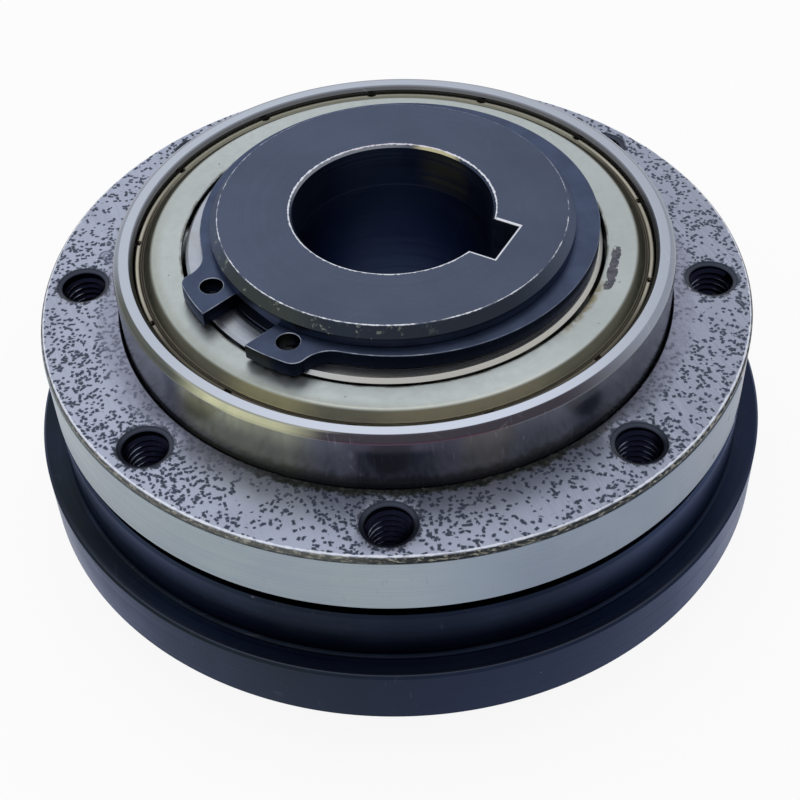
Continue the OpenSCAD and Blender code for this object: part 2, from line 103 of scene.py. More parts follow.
class ClutchColours(bpy.types.PropertyGroup):
    hub: bpy.props.FloatVectorProperty(
        name="Hub", description="Black oxide of the hub", subtype="COLOR", size=3,
        default=(0.064, 0.078, 0.120), min=0, max=1)
    cup: bpy.props.FloatVectorProperty(
        name="Thrust cup", description="Black oxide of the thrust cup and the adjusting nut",
        subtype="COLOR", size=3, default=(0.0125, 0.018, 0.036), min=0, max=1)
    clip: bpy.props.FloatVectorProperty(
        name="Retaining ring", description="Phosphated spring steel", subtype="COLOR", size=3,
        default=(0.052, 0.068, 0.115), min=0, max=1)
    bright: bpy.props.FloatVectorProperty(
        name="Bright steel", description="Ground steel of the bearing's rings and the balls",
        subtype="COLOR", size=3, default=(0.49, 0.535, 0.63), min=0, max=1)
    shield: bpy.props.FloatVectorProperty(
        name="Shield", description="Satin pressed sheet of the shield and the cage", subtype="COLOR",
        size=3, default=(0.385, 0.42, 0.425), min=0, max=1)
    flange: bpy.props.FloatVectorProperty(
        name="Flange", description="Ground face of the output flange", subtype="COLOR", size=3,
        default=(0.285, 0.31, 0.40), min=0, max=1)
    fleck: bpy.props.FloatVectorProperty(
        name="Flecks", description="Dark marks all over the flange's ground face", subtype="COLOR",
        size=3, default=(0.050, 0.060, 0.090), min=0, max=1)
    foil: bpy.props.FloatVectorProperty(
        name="Foil", description="Satin foil of the type tag", subtype="COLOR", size=3,
        default=(0.31, 0.365, 0.45), min=0, max=1)


class ClutchStage(bpy.types.PropertyGroup):
    floor_size: bpy.props.FloatProperty(
        name="Floor", description="Side of the square floor", default=6, unit="LENGTH", subtype="DISTANCE")
    key_power: bpy.props.FloatProperty(
        name="Key lamp", description="Power of the large lamp above and behind", default=0.9, unit="POWER")
    fill_power: bpy.props.FloatProperty(
        name="Fill lamp", description="Power of the soft lamp at the front left", default=0.3, unit="POWER")
    ambient: bpy.props.FloatProperty(
        name="Ambient", description="Strength of the even light from all round", default=0.8, min=0, max=2)


# Meshes

def new_object(name, data):
    """An object at the origin, unturned, in the scene."""
    made = bpy.data.objects.new(name, data)
    bpy.context.scene.collection.objects.link(made)
    return made


def rounded_outline(corners, steps, support=0.05):
    """The points of a closed outline of (r, z, rounding), with a support point beside each rounding.

    On the shorter edge beside a corner, the rounding takes up no more than most_round of its length and
    the support point lies no more than most_support of it farther on, so that neighbours never cross.
    """
    most_round, most_support = 0.45, 0.04
    points = []
    for i, (r, z, rounding) in enumerate(corners):
        corner = Vector((r, z))
        if not rounding:
            points.append(corner)
            continue
        before = Vector(corners[i - 1][:2]) - corner
        after = Vector(corners[(i + 1) % len(corners)][:2]) - corner
        room = min(before.length, after.length)
        before.normalize()
        after.normalize()
        half = before.angle(after) / 2
        reach = min(rounding / math.tan(half), most_round * room)
        radius = reach * math.tan(half)
        centre = corner + (before + after).normalized() * radius / math.sin(half)
        start = corner + before * reach - centre
        end = corner + after * reach - centre
        sweep = start.angle_signed(end)
        lead = min(support, most_support * room)
        points.append(corner + before * (reach + lead))
        for step in range(steps + 1):
            angle = -sweep * step / steps
            points.append(centre + Matrix.Rotation(angle, 2) @ start)
        points.append(corner + after * (reach + lead))
    return points


def turned_mesh(name, points, segments, start=0.0, sweep=TAU):
    """A closed outline of (r, z) points in millimetres, turned round the Z axis."""
    full = abs(sweep - TAU) < 1e-6
    rings = segments if full else segments + 1
    verts = []
    for k in range(rings):
        angle = start + sweep * k / segments
        verts += [(r * math.cos(angle) * MM, r * math.sin(angle) * MM, z * MM) for r, z in points]
    n = len(points)
    faces = []
    for k in range(segments):
        here, there = k * n, ((k + 1) % rings) * n
        for i in range(n):
            j = (i + 1) % n
            faces.append((here + i, there + i, there + j, here + j))
    if not full:
        faces.append(tuple(range(n)))
        faces.append(tuple(reversed(range((rings - 1) * n, rings * n))))
    mesh = bpy.data.meshes.new(name)
    mesh.from_pydata(verts, [], faces)
    face_outwards(mesh)
    return mesh


def face_outwards(mesh):
    """Merges doubles, then turns every face outwards."""
    form = bmesh.new()
    form.from_mesh(mesh)
    bmesh.ops.remove_doubles(form, verts=form.verts, dist=1e-7)
    bmesh.ops.recalc_face_normals(form, faces=form.faces)
    form.to_mesh(mesh)
    form.free()


def prism_mesh(name, sections):
    """A closed solid through flat sections, each a list of (x, y, z) corners in millimetres."""
    n = len(sections[0])
    verts = [tuple(c * MM for c in corner) for section in sections for corner in section]
    faces = [tuple(range(n)), tuple(range(len(verts) - n, len(verts)))]
    for k in range(len(sections) - 1):
        for i in range(n):
            j = (i + 1) % n
            faces.append((k * n + i, k * n + j, (k + 1) * n + j, (k + 1) * n + i))
    mesh = bpy.data.meshes.new(name)
    mesh.from_pydata(verts, [], faces)
    face_outwards(mesh)
    return mesh


def box_sections(x0, x1, half_y, heights, grow):
    """Rectangles at several heights, each grown by its share, for a slot with a broken edge."""
    sections = []
    for z, g in zip(heights, grow):
        left, right, side = x0 - g, x1 + g, half_y + g
        sections.append([(left, -side, z), (right, -side, z), (right, side, z), (left, side, z)])
    return sections


def round_cutter(name, x, outline, steps=48):
    """A solid turned round its own axis, which lies along Z at x; outline goes up as (radius, z)."""
    turns = [TAU * k / steps for k in range(steps)]
    return prism_mesh(name, [[(x + r * math.cos(t), r * math.sin(t), z) for t in turns] for r, z in outline])


def outline_loops(mesh, height):
    """The closed outlines of a mesh's flat face at a height, in millimetres, the metal on their left."""
    form = bmesh.new()
    form.from_mesh(mesh)
    bmesh.ops.remove_doubles(form, verts=form.verts, dist=2e-6)
    form.verts.index_update()
    form.verts.ensure_lookup_table()
    steps = set()
    for face in form.faces:
        if all(abs(corner.co.z / MM - height) < 1e-3 for corner in face.verts):
            steps.update((corner.vert.index, corner.link_loop_next.vert.index) for corner in face.loops)
    # Sorted, so that the loops come out in the same order at each run
    onward = {a: b for a, b in sorted(steps) if (b, a) not in steps}
    loops = []
    while onward:
        at = next(iter(onward))
        loop = []
        while at in onward:
            loop.append(form.verts[at].co.to_2d() / MM)
            at = onward.pop(at)
        loops.append(loop)
    form.free()
    return loops


def inset_loop(loop, depth):
    """An outline moved into the metal on its left by a depth, its corners kept but drawn into no spikes."""
    least_lean = 0.4
    moved = []
    for i, point in enumerate(loop):
        before = (point - loop[i - 1]).normalized()
        after = (loop[(i + 1) % len(loop)] - point).normalized()
        aside = Vector((-before.y - after.y, before.x + after.x)).normalized()
        lean = max(least_lean, aside.dot(Vector((-after.y, after.x))))
        moved.append(point + aside * depth / lean)
    return moved


def stamped_mesh(name, loops, low, high, edge, steps, support=0.05):
    """A flat stamping between two heights with all its edges rounded; the faces there carry worn_edge."""
    turns = [math.pi / 2 * k / steps for k in range(steps + 1)]
    levels = [(low, edge + support)]
    levels += [(low + edge * (1 - math.sin(t)), edge * (1 - math.cos(t))) for t in reversed(turns)]
    levels += [(high - edge * (1 - math.sin(t)), edge * (1 - math.cos(t))) for t in turns]
    levels += [(high, edge + support)]
    flat = (0, steps + 1, 2 * steps + 2)
    form = bmesh.new()
    worn = form.faces.layers.float.new("worn_edge")
    ends = ([], [])
    for loop in loops:
        rows = [[form.verts.new((*p, z)) for p in inset_loop(loop, depth)] for z, depth in levels]
        for k, (row, above) in enumerate(zip(rows, rows[1:])):
            for i in range(len(loop)):
                j = (i + 1) % len(loop)
                face = form.faces.new((row[i], row[j], above[j], above[i]))
                face[worn] = float(k not in flat)
        for end, row in zip(ends, (rows[0], rows[-1])):
            end.extend(form.edges.get((row[i], row[i - 1])) for i in range(len(row)))
    for end in ends:
        bmesh.ops.triangle_fill(form, edges=end, use_beauty=True)
    bmesh.ops.recalc_face_normals(form, faces=form.faces)
    mesh = bpy.data.meshes.new(name)
    form.to_mesh(mesh)
    form.free()
    mesh.transform(Matrix.Scale(MM, 4))
    return mesh


# Geometry Nodes

FLOAT, VECTOR = "NodeSocketFloat", "NodeSocketVector"


def new_tree(name, kind, inputs, outputs):
    """An empty node group with named inputs of (name, kind, default) and outputs of (name, kind)."""
    tree = bpy.data.node_groups.new(name, kind)
    for socket, socket_kind, default in inputs:
        made = tree.interface.new_socket(socket, in_out="INPUT", socket_type=socket_kind)
        if default is not None:
            made.default_value = default
    for socket, socket_kind in outputs:
        tree.interface.new_socket(socket, in_out="OUTPUT", socket_type=socket_kind)
    return tree


def geometry_tree(name, inputs):
    """A Geometry Nodes tree that takes in a mesh and a material, and the outputs of its Group Input."""
    tree = new_tree(name, "GeometryNodeTree", [
        ("Geometry", "NodeSocketGeometry", None), *inputs, ("Material", "NodeSocketMaterial", None)],
        [("Geometry", "NodeSocketGeometry")])
    return tree, put(tree, "NodeGroupInput").outputs


def put(tree, kind, inputs=None, **settings):
    """A node with its settings made and its inputs set or linked."""
    made = tree.nodes.new(kind)
    for key, value in settings.items():
        setattr(made, key, value)
    for key, value in (inputs or {}).items():
        socket = made.inputs[key]
        if isinstance(value, bpy.types.Node):
            value = value.outputs[0]
        if isinstance(value, bpy.types.NodeSocket):
            tree.links.new(value, socket)
        else:
            socket.default_value = value
    return made


def maths(tree, operation, *values):
    return put(tree, "ShaderNodeMath", dict(enumerate(values)), operation=operation).outputs[0]


def ring_of_copies(tree, instance, given):
    """Count copies of a mesh, turned evenly round Z from First Angle on."""
    points = put(tree, "GeometryNodePoints", {"Count": given["Count"]})
    index = put(tree, "GeometryNodeInputIndex")
    step = maths(tree, "DIVIDE", TAU, given["Count"])
    turn = maths(tree, "MULTIPLY_ADD", index.outputs[0], step, given["First Angle"])
    euler = put(tree, "ShaderNodeCombineXYZ", {"Z": turn})
    rotation = put(tree, "FunctionNodeEulerToRotation", {0: euler})
    return put(tree, "GeometryNodeInstanceOnPoints", {
        "Points": points, "Instance": instance, "Rotation": rotation})


def finish_tree(tree, geometry, given):
    """Ends a tree: real geometry with its material."""
    real = put(tree, "GeometryNodeRealizeInstances", {0: geometry})
    dressed = put(tree, "GeometryNodeSetMaterial", {"Geometry": real, "Material": given["Material"]})
    put(tree, "NodeGroupOutput", {0: dressed})
    return tree


def pattern_cut_tree():
    """Cuts copies of a cutter, spaced evenly round the Z axis, out of a piece."""
    tree = bpy.data.node_groups.get("Pattern cut")
    if tree:
        return tree
    tree, given = geometry_tree("Pattern cut", [
        ("Cutter", "NodeSocketObject", None), ("Count", "NodeSocketInt", 1), ("First Angle", FLOAT, 0.0)])
    cutter = put(tree, "GeometryNodeObjectInfo", {"Object": given["Cutter"]})
    copies = ring_of_copies(tree, cutter.outputs["Geometry"], given)
    solid = put(tree, "GeometryNodeRealizeInstances", {0: copies})
    cut = put(tree, "GeometryNodeMeshBoolean", {0: given["Geometry"], 1: solid},
              operation="DIFFERENCE", solver="EXACT")
    return finish_tree(tree, cut, given)


def thread_tree():
    """Thread ridges that wind up round one or more parallel axes, which stand on a circle."""
    tree = bpy.data.node_groups.get("Thread ridges")
    if tree:
        return tree
    tree, given = geometry_tree("Thread ridges", [
        ("Turns", FLOAT, 6.0), ("Pitch", FLOAT, 0.8 * MM), ("Root Radius", FLOAT, 2.5 * MM),
        ("Depth", FLOAT, -0.4 * MM), ("Crest Width", FLOAT, 0.1 * MM), ("Root Width", FLOAT, 0.7 * MM),
        ("Steps Per Turn", "NodeSocketInt", 32), ("Fade", FLOAT, 0.1), ("Count", "NodeSocketInt", 1),
        ("Circle Radius", FLOAT, 0.0), ("First Angle", FLOAT, 0.0), ("Base Height", FLOAT, 0.0)])
    rise = maths(tree, "MULTIPLY", given["Turns"], given["Pitch"])
    spiral = put(tree, "GeometryNodeCurveSpiral", {
        "Resolution": given["Steps Per Turn"], "Rotations": given["Turns"],
        "Start Radius": given["Root Radius"], "End Radius": given["Root Radius"], "Height": rise})
    upright = put(tree, "GeometryNodeSetCurveNormal", {"Curve": spiral}, mode="Z_UP")
    along = put(tree, "GeometryNodeSplineParameter").outputs["Factor"]
    to_end = maths(tree, "MINIMUM", along, maths(tree, "SUBTRACT", 1.0, along))
    full = ramp(tree, to_end, 0.0, given["Fade"], 0.05, 1.0)
    faded = put(tree, "GeometryNodeSetCurveRadius", {"Curve": upright, "Radius": full})
    section = put(tree, "GeometryNodeCurvePrimitiveQuadrilateral", {
        "Bottom Width": given["Root Width"], "Top Width": given["Crest Width"],
        "Offset": 0.0, "Height": maths(tree, "ABSOLUTE", given["Depth"])}, mode="TRAPEZOID")
    outward = put(tree, "ShaderNodeCombineXYZ", {
        "X": maths(tree, "MULTIPLY", maths(tree, "SIGN", given["Depth"]), -1.0), "Y": 1.0, "Z": 1.0})
    shift = put(tree, "ShaderNodeCombineXYZ", {"X": maths(tree, "MULTIPLY", given["Depth"], -0.5)})
    turned = put(tree, "GeometryNodeTransform", {
        "Geometry": section, "Rotation": (0, 0, -math.pi / 2)})
    faced = put(tree, "GeometryNodeTransform", {
        "Geometry": turned, "Scale": outward, "Translation": shift})
    ridge = put(tree, "GeometryNodeCurveToMesh", {
        "Curve": faded, "Profile Curve": faced, "Fill Caps": True})
    place = put(tree, "ShaderNodeCombineXYZ", {"X": given["Circle Radius"], "Z": given["Base Height"]})
    placed = put(tree, "GeometryNodeTransform", {"Geometry": ridge, "Translation": place})
    return finish_tree(tree, ring_of_copies(tree, placed, given), given)


def apply_tree(piece, tree, values):
    """Runs a Geometry Nodes tree on the piece and keeps the result as its plain mesh."""
    modifier = piece.modifiers.new(tree.name, "NODES")
    modifier.node_group = tree
    for item in tree.interface.items_tree:
        if item.in_out == "INPUT" and item.name in values:
            modifier[item.identifier] = values[item.name]
    graph = bpy.context.evaluated_depsgraph_get()
    mesh = bpy.data.meshes.new_from_object(
        piece.evaluated_get(graph), preserve_all_data_layers=True, depsgraph=graph)
    piece.modifiers.remove(modifier)
    old = piece.data
    piece.data = mesh
    mesh.name = piece.name
    bpy.data.meshes.remove(old)
    if not len(mesh.polygons):
        raise RuntimeError(f"{tree.name} left nothing of {piece.name}")


def cut_pattern(piece, cutter_mesh, count, first_degrees, material):
    """Cuts a ring of like openings out of a piece, the first of them at a direction in degrees."""
    cutter = new_object(cutter_mesh.name, cutter_mesh)
    bpy.context.view_layer.update()
    apply_tree(piece, pattern_cut_tree(), {
        "Cutter": cutter, "Count": count, "First Angle": math.radians(first_degrees),
        "Material": material})
    bpy.data.objects.remove(cutter)
    bpy.data.meshes.remove(cutter_mesh)


def turned_piece(name, corners, sizes, material):
    """A piece turned from a table of (r, z, rounding) in millimetres."""
    points = rounded_outline(corners, sizes.arc_steps)
    piece = new_object(name, turned_mesh(name, points, sizes.segments))
    piece.data.materials.append(material)
    return piece


def seat(piece, node, body):
    """Ends a piece: smooth shading up to its edges, the CAD node it stands for if any, and body."""
    piece.data.shade_smooth()
    piece.data.set_sharp_from_angle(angle=math.radians(SHARP_ANGLE))
    if node:
        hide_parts(node)
    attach(piece, body)


def thread_piece(name, body, values):
    """Thread ridges as a piece of their own, beside the node that carries them."""
    piece = new_object(name, bpy.data.meshes.new(name))
    apply_tree(piece, thread_tree(), values)
    face_outwards(piece.data)
    seat(piece, None, body)


# Shader node groups

def shader_group(name, inputs, outputs, build):
    """A shader node group, built once; build gets the tree and its inputs and returns the output values."""
    tree = bpy.data.node_groups.get(name)
    if tree:
        return tree
    tree = new_tree(name, "ShaderNodeTree", inputs, outputs)
    results = build(tree, put(tree, "NodeGroupInput").outputs)
    put(tree, "NodeGroupOutput", dict(zip([socket for socket, _ in outputs], results)))
    return tree


def vector_maths(tree, operation, *values, out=0):
    return put(tree, "ShaderNodeVectorMath", dict(enumerate(values)), operation=operation).outputs[out]


def flattened(tree, vector):
    """A vector with its height left out."""
    return vector_maths(tree, "MULTIPLY", vector, (1, 1, 0))


def ramp(tree, value, low, high, to_low=0.0, to_high=1.0, kind="SMOOTHSTEP"):
    """A value between low and high brought to between two others, and held there beyond them."""
    return put(tree, "ShaderNodeMapRange", {
        "Value": value, "From Min": low, "From Max": high, "To Min": to_low, "To Max": to_high},
        interpolation_type=kind).outputs[0]


def noise(tree, vector, scale, detail=2.0, rough=0.5):
    return put(tree, "ShaderNodeTexNoise", {
        "Vector": vector, "Scale": scale, "Detail": detail, "Roughness": rough}).outputs["Fac"]


def round_coordinates():
    """The place on the piece in millimetres, its distance from the axis, its height and its direction."""
    def build(tree, given):
        where = put(tree, "ShaderNodeTexCoord").outputs["Object"]
        place = vector_maths(tree, "MULTIPLY", where, (1 / MM, 1 / MM, 1 / MM))
        parts = put(tree, "ShaderNodeSeparateXYZ", {0: place}).outputs
        flat = flattened(tree, place)
        radius = vector_maths(tree, "LENGTH", flat, out="Value")
        turn = maths(tree, "ARCTAN2", parts["Y"], parts["X"])
        direction = vector_maths(tree, "NORMALIZE", flat)
        return place, radius, parts["Z"], turn, direction
    return shader_group("Round coordinates", [], [
        ("Place", VECTOR), ("Radius", FLOAT), ("Height", FLOAT), ("Turn", FLOAT), ("Direction", VECTOR)],
        build)


def tool_marks():
    """Fine lines that a lathe or grinder leaves, all at one value of Across."""
    def build(tree, given):
        around = put(tree, "ShaderNodeVectorMath", {0: given["Direction"], "Scale": given["Waver"]},
                     operation="SCALE")
        across = maths(tree, "MULTIPLY", given["Across"], given["Per Millimetre"])
        lift = put(tree, "ShaderNodeCombineXYZ", {"X": given["Seed"], "Z": across})
        where = vector_maths(tree, "ADD", around, lift)
        return [noise(tree, where, 1.0, 4.0, 0.65)]
    return shader_group("Tool marks", [
        ("Direction", VECTOR, None), ("Across", FLOAT, 0.0), ("Per Millimetre", FLOAT, 4.0),
        ("Waver", FLOAT, 0.6), ("Seed", FLOAT, 0.0)], [("Marks", FLOAT)], build)


def edge_wear():
    """Bare metal along a turned edge at a given radius and height, broken up into chips."""
    def build(tree, given):
        off_r = maths(tree, "SUBTRACT", given["Radius"], given["Edge Radius"])
        off_z = maths(tree, "SUBTRACT", given["Height"], given["Edge Height"])
        apart = put(tree, "ShaderNodeCombineXYZ", {"X": off_r, "Y": off_z})
        distance = vector_maths(tree, "LENGTH", apart, out="Value")
        chips = noise(tree, given["Place"], given["Chips"], 3.0, 0.6)
        spread = ramp(tree, chips, 0.3, 0.7, 0.35, 1.65)
        near = maths(tree, "DIVIDE", distance, maths(tree, "MULTIPLY", given["Width"], spread))
        band = ramp(tree, near, 0.55, 1.0, 1.0, 0.0)
        elsewhere = vector_maths(tree, "ADD", given["Place"], (31.0, 7.0, 3.0))
        gaps = noise(tree, elsewhere, 0.35, 3.0, 0.7)
        more = maths(tree, "SUBTRACT", given["Amount"], 0.5)
        shown = ramp(tree, maths(tree, "ADD", gaps, more), 0.40, 0.60)
        return [maths(tree, "MULTIPLY", band, shown)]
    return shader_group("Edge wear", [
        ("Place", VECTOR, None), ("Radius", FLOAT, 0.0), ("Height", FLOAT, 0.0),
        ("Edge Radius", FLOAT, 10.0), ("Edge Height", FLOAT, 0.0), ("Width", FLOAT, 0.2),
        ("Chips", FLOAT, 2.0), ("Amount", FLOAT, 0.5)],
        [("Wear", FLOAT)], build)


def slot_edge():
    """Bare metal along the top edges of a slot that runs out from the axis."""
    def build(tree, given):
        aim = put(tree, "ShaderNodeCombineXYZ", {"Z": maths(tree, "MULTIPLY", given["Direction"], -1.0)})
        local = put(tree, "ShaderNodeVectorRotate", {
            "Vector": given["Place"], "Rotation": aim}, rotation_type="EULER_XYZ")
        parts = put(tree, "ShaderNodeSeparateXYZ", {0: local}).outputs
        over_x = maths(tree, "SUBTRACT", parts["X"], given["Length"])
        over_y = maths(tree, "SUBTRACT", maths(tree, "ABSOLUTE", parts["Y"]), given["Half Width"])
        edge = maths(tree, "ABSOLUTE", maths(tree, "MAXIMUM", over_x, over_y))
        begun = ramp(tree, parts["X"], given["Start"], maths(tree, "ADD", given["Start"], 0.2))
        top = ramp(tree, parts["Z"], maths(tree, "SUBTRACT", given["Top"], 0.35), given["Top"])
        band = ramp(tree, edge, maths(tree, "MULTIPLY", given["Width"], 0.5), given["Width"], 1.0, 0.0)
        return [maths(tree, "MULTIPLY", maths(tree, "MULTIPLY", band, begun), top)]
    return shader_group("Slot edge", [
        ("Place", VECTOR, None), ("Direction", FLOAT, 0.0), ("Start", FLOAT, 10.5),
        ("Length", FLOAT, KEY_END), ("Half Width", FLOAT, 3.0), ("Top", FLOAT, HUB_TOP),
        ("Width", FLOAT, 0.2)],
        [("Wear", FLOAT)], build)


def one_fleck_layer(tree, place, size, length, breadth, cover):
    """Short ragged dashes, one to a Voronoi cell, each with its own direction and length."""
    wobble = put(tree, "ShaderNodeTexNoise", {"Vector": place, "Scale": 3.0, "Detail": 2.0})
    bend = vector_maths(tree, "SUBTRACT", wobble.outputs["Color"], (0.5, 0.5, 0.5))
    bent = vector_maths(tree, "ADD", place, vector_maths(tree, "MULTIPLY", bend, (0.24, 0.24, 0.0)))
    cell = put(tree, "ShaderNodeTexVoronoi", {
        "Vector": bent, "Scale": maths(tree, "DIVIDE", 1.0, size)}, voronoi_dimensions="2D")
    luck = put(tree, "ShaderNodeSeparateColor", {0: cell.outputs["Color"]}).outputs
    middle = flattened(tree, cell.outputs["Position"])
    offset = vector_maths(tree, "SUBTRACT", flattened(tree, bent), middle)
    turn = put(tree, "ShaderNodeVectorRotate", {
        "Vector": offset, "Angle": maths(tree, "MULTIPLY", luck["Red"], TAU)}, rotation_type="Z_AXIS")
    parts = put(tree, "ShaderNodeSeparateXYZ", {0: turn}).outputs
    reach = maths(tree, "MULTIPLY", length, maths(tree, "MULTIPLY_ADD", luck["Green"], 0.9, 0.45))
    along = maths(tree, "DIVIDE", maths(tree, "ABSOLUTE", parts["X"]), reach)
    aside = maths(tree, "DIVIDE", maths(tree, "ABSOLUTE", parts["Y"]), breadth)
    inside = ramp(tree, maths(tree, "MAXIMUM", along, aside), 0.6, 1.2, 1.0, 0.0)
    there = maths(tree, "LESS_THAN", luck["Blue"], cover)
    return maths(tree, "MULTIPLY", inside, there)


def flecks():
    """Short dark dashes scattered at random, in drifts and clusters, over a flat face."""
    def build(tree, given):
        flat = flattened(tree, given["Place"])
        drift = maths(tree, "ADD", noise(tree, flat, 0.11, 2.0, 0.6),
                      maths(tree, "MULTIPLY_ADD", noise(tree, flat, 0.42, 2.0, 0.6), 0.7, -0.35))
        share = maths(tree, "MULTIPLY", given["Cover"], ramp(tree, drift, 0.3, 0.7, 0.3, 1.7))
        result = None
        for shift, size, length, breadth in (
                ((0.0, 0.0, 0.0), 0.92, 0.28, 0.18), ((13.7, 5.1, 0.0), 1.02, 0.26, 0.19),
                ((41.3, 27.9, 0.0), 0.78, 0.21, 0.165), ((71.9, 63.3, 0.0), 1.3, 0.38, 0.17)):
            where = vector_maths(tree, "ADD", flat, shift)
            layer = one_fleck_layer(tree, where, size, length, breadth, share)
            result = layer if result is None else maths(tree, "MAXIMUM", result, layer)
        return [result]
    return shader_group("Flecks", [("Place", VECTOR, None), ("Cover", FLOAT, 0.35)],
                        [("Mask", FLOAT)], build)


def scuffs():
    """Thin straight scratches in several directions and small pale nicks."""
    def build(tree, given):
        result = None
        for angle, shift in ((0.3, 0.0), (1.4, 17.0), (2.5, 43.0)):
            turned = put(tree, "ShaderNodeVectorRotate", {
                "Vector": vector_maths(tree, "ADD", given["Place"], (shift, shift, 0.0)),
                "Angle": angle}, rotation_type="Z_AXIS")
            thin = vector_maths(tree, "MULTIPLY", turned, (0.12, 5.0, 0.4))
            line = ramp(tree, noise(tree, thin, 1.0, 2.0, 0.5), 0.66, 0.74)
            result = line if result is None else maths(tree, "MAXIMUM", result, line)
        patches = ramp(tree, noise(tree, given["Place"], 0.16, 2.0), 0.45, 0.62)
        lines = maths(tree, "MULTIPLY", result, patches)
        specks = put(tree, "ShaderNodeTexVoronoi", {"Vector": given["Place"], "Scale": 0.55}).outputs
        luck = put(tree, "ShaderNodeSeparateColor", {0: specks["Color"]}).outputs
        size = maths(tree, "MULTIPLY", luck["Green"], given["Nick Size"])
        nick = ramp(tree, maths(tree, "SUBTRACT", specks["Distance"], size), -0.02, 0.02, 1.0, 0.0)
        nicks = maths(tree, "MULTIPLY", nick, maths(tree, "LESS_THAN", luck["Blue"], given["Nicks"]))
        return lines, nicks
    return shader_group("Scuffs", [
        ("Place", VECTOR, None), ("Nicks", FLOAT, 0.15), ("Nick Size", FLOAT, 0.12)],
        [("Lines", FLOAT), ("Nicks", FLOAT)], build)


def hole_field():
    """The distance from the nearest of several axes that stand evenly on a circle, and the way there."""
    def build(tree, given):
        step = maths(tree, "DIVIDE", TAU, given["Count"])
        turn = maths(tree, "SUBTRACT", given["Turn"], given["First Angle"])
        whole = maths(tree, "ROUND", maths(tree, "DIVIDE", turn, step))
        aim = maths(tree, "ADD", given["First Angle"], maths(tree, "MULTIPLY", whole, step))
        axis = put(tree, "ShaderNodeCombineXYZ", {
            "X": maths(tree, "MULTIPLY", given["Circle Radius"], maths(tree, "COSINE", aim)),
            "Y": maths(tree, "MULTIPLY", given["Circle Radius"], maths(tree, "SINE", aim))})
        offset = vector_maths(tree, "SUBTRACT", flattened(tree, given["Place"]), axis)
        return vector_maths(tree, "LENGTH", offset, out="Value"), vector_maths(tree, "NORMALIZE", offset)
    return shader_group("Hole field", [
        ("Place", VECTOR, None), ("Turn", FLOAT, 0.0), ("Count", FLOAT, 8.0),
        ("Circle Radius", FLOAT, HOLE_CIRCLE), ("First Angle", FLOAT, 0.0)],
        [("Distance", FLOAT), ("Side", VECTOR)], build)


# Finishes

WHITE = (1.0, 1.0, 1.0)
BARE_STEEL = (0.62, 0.64, 0.70)
OXIDE_SHEEN = (0.75, 0.80, 1.0)


def darker(colour, share):
    """A colour times a share; above 1 it is lighter."""
    return tuple(c * share for c in colour)


def blank_tree(owner):
    """The emptied node tree of a material or a world."""
    owner.use_nodes = True
    owner.node_tree.nodes.clear()
    return owner.node_tree


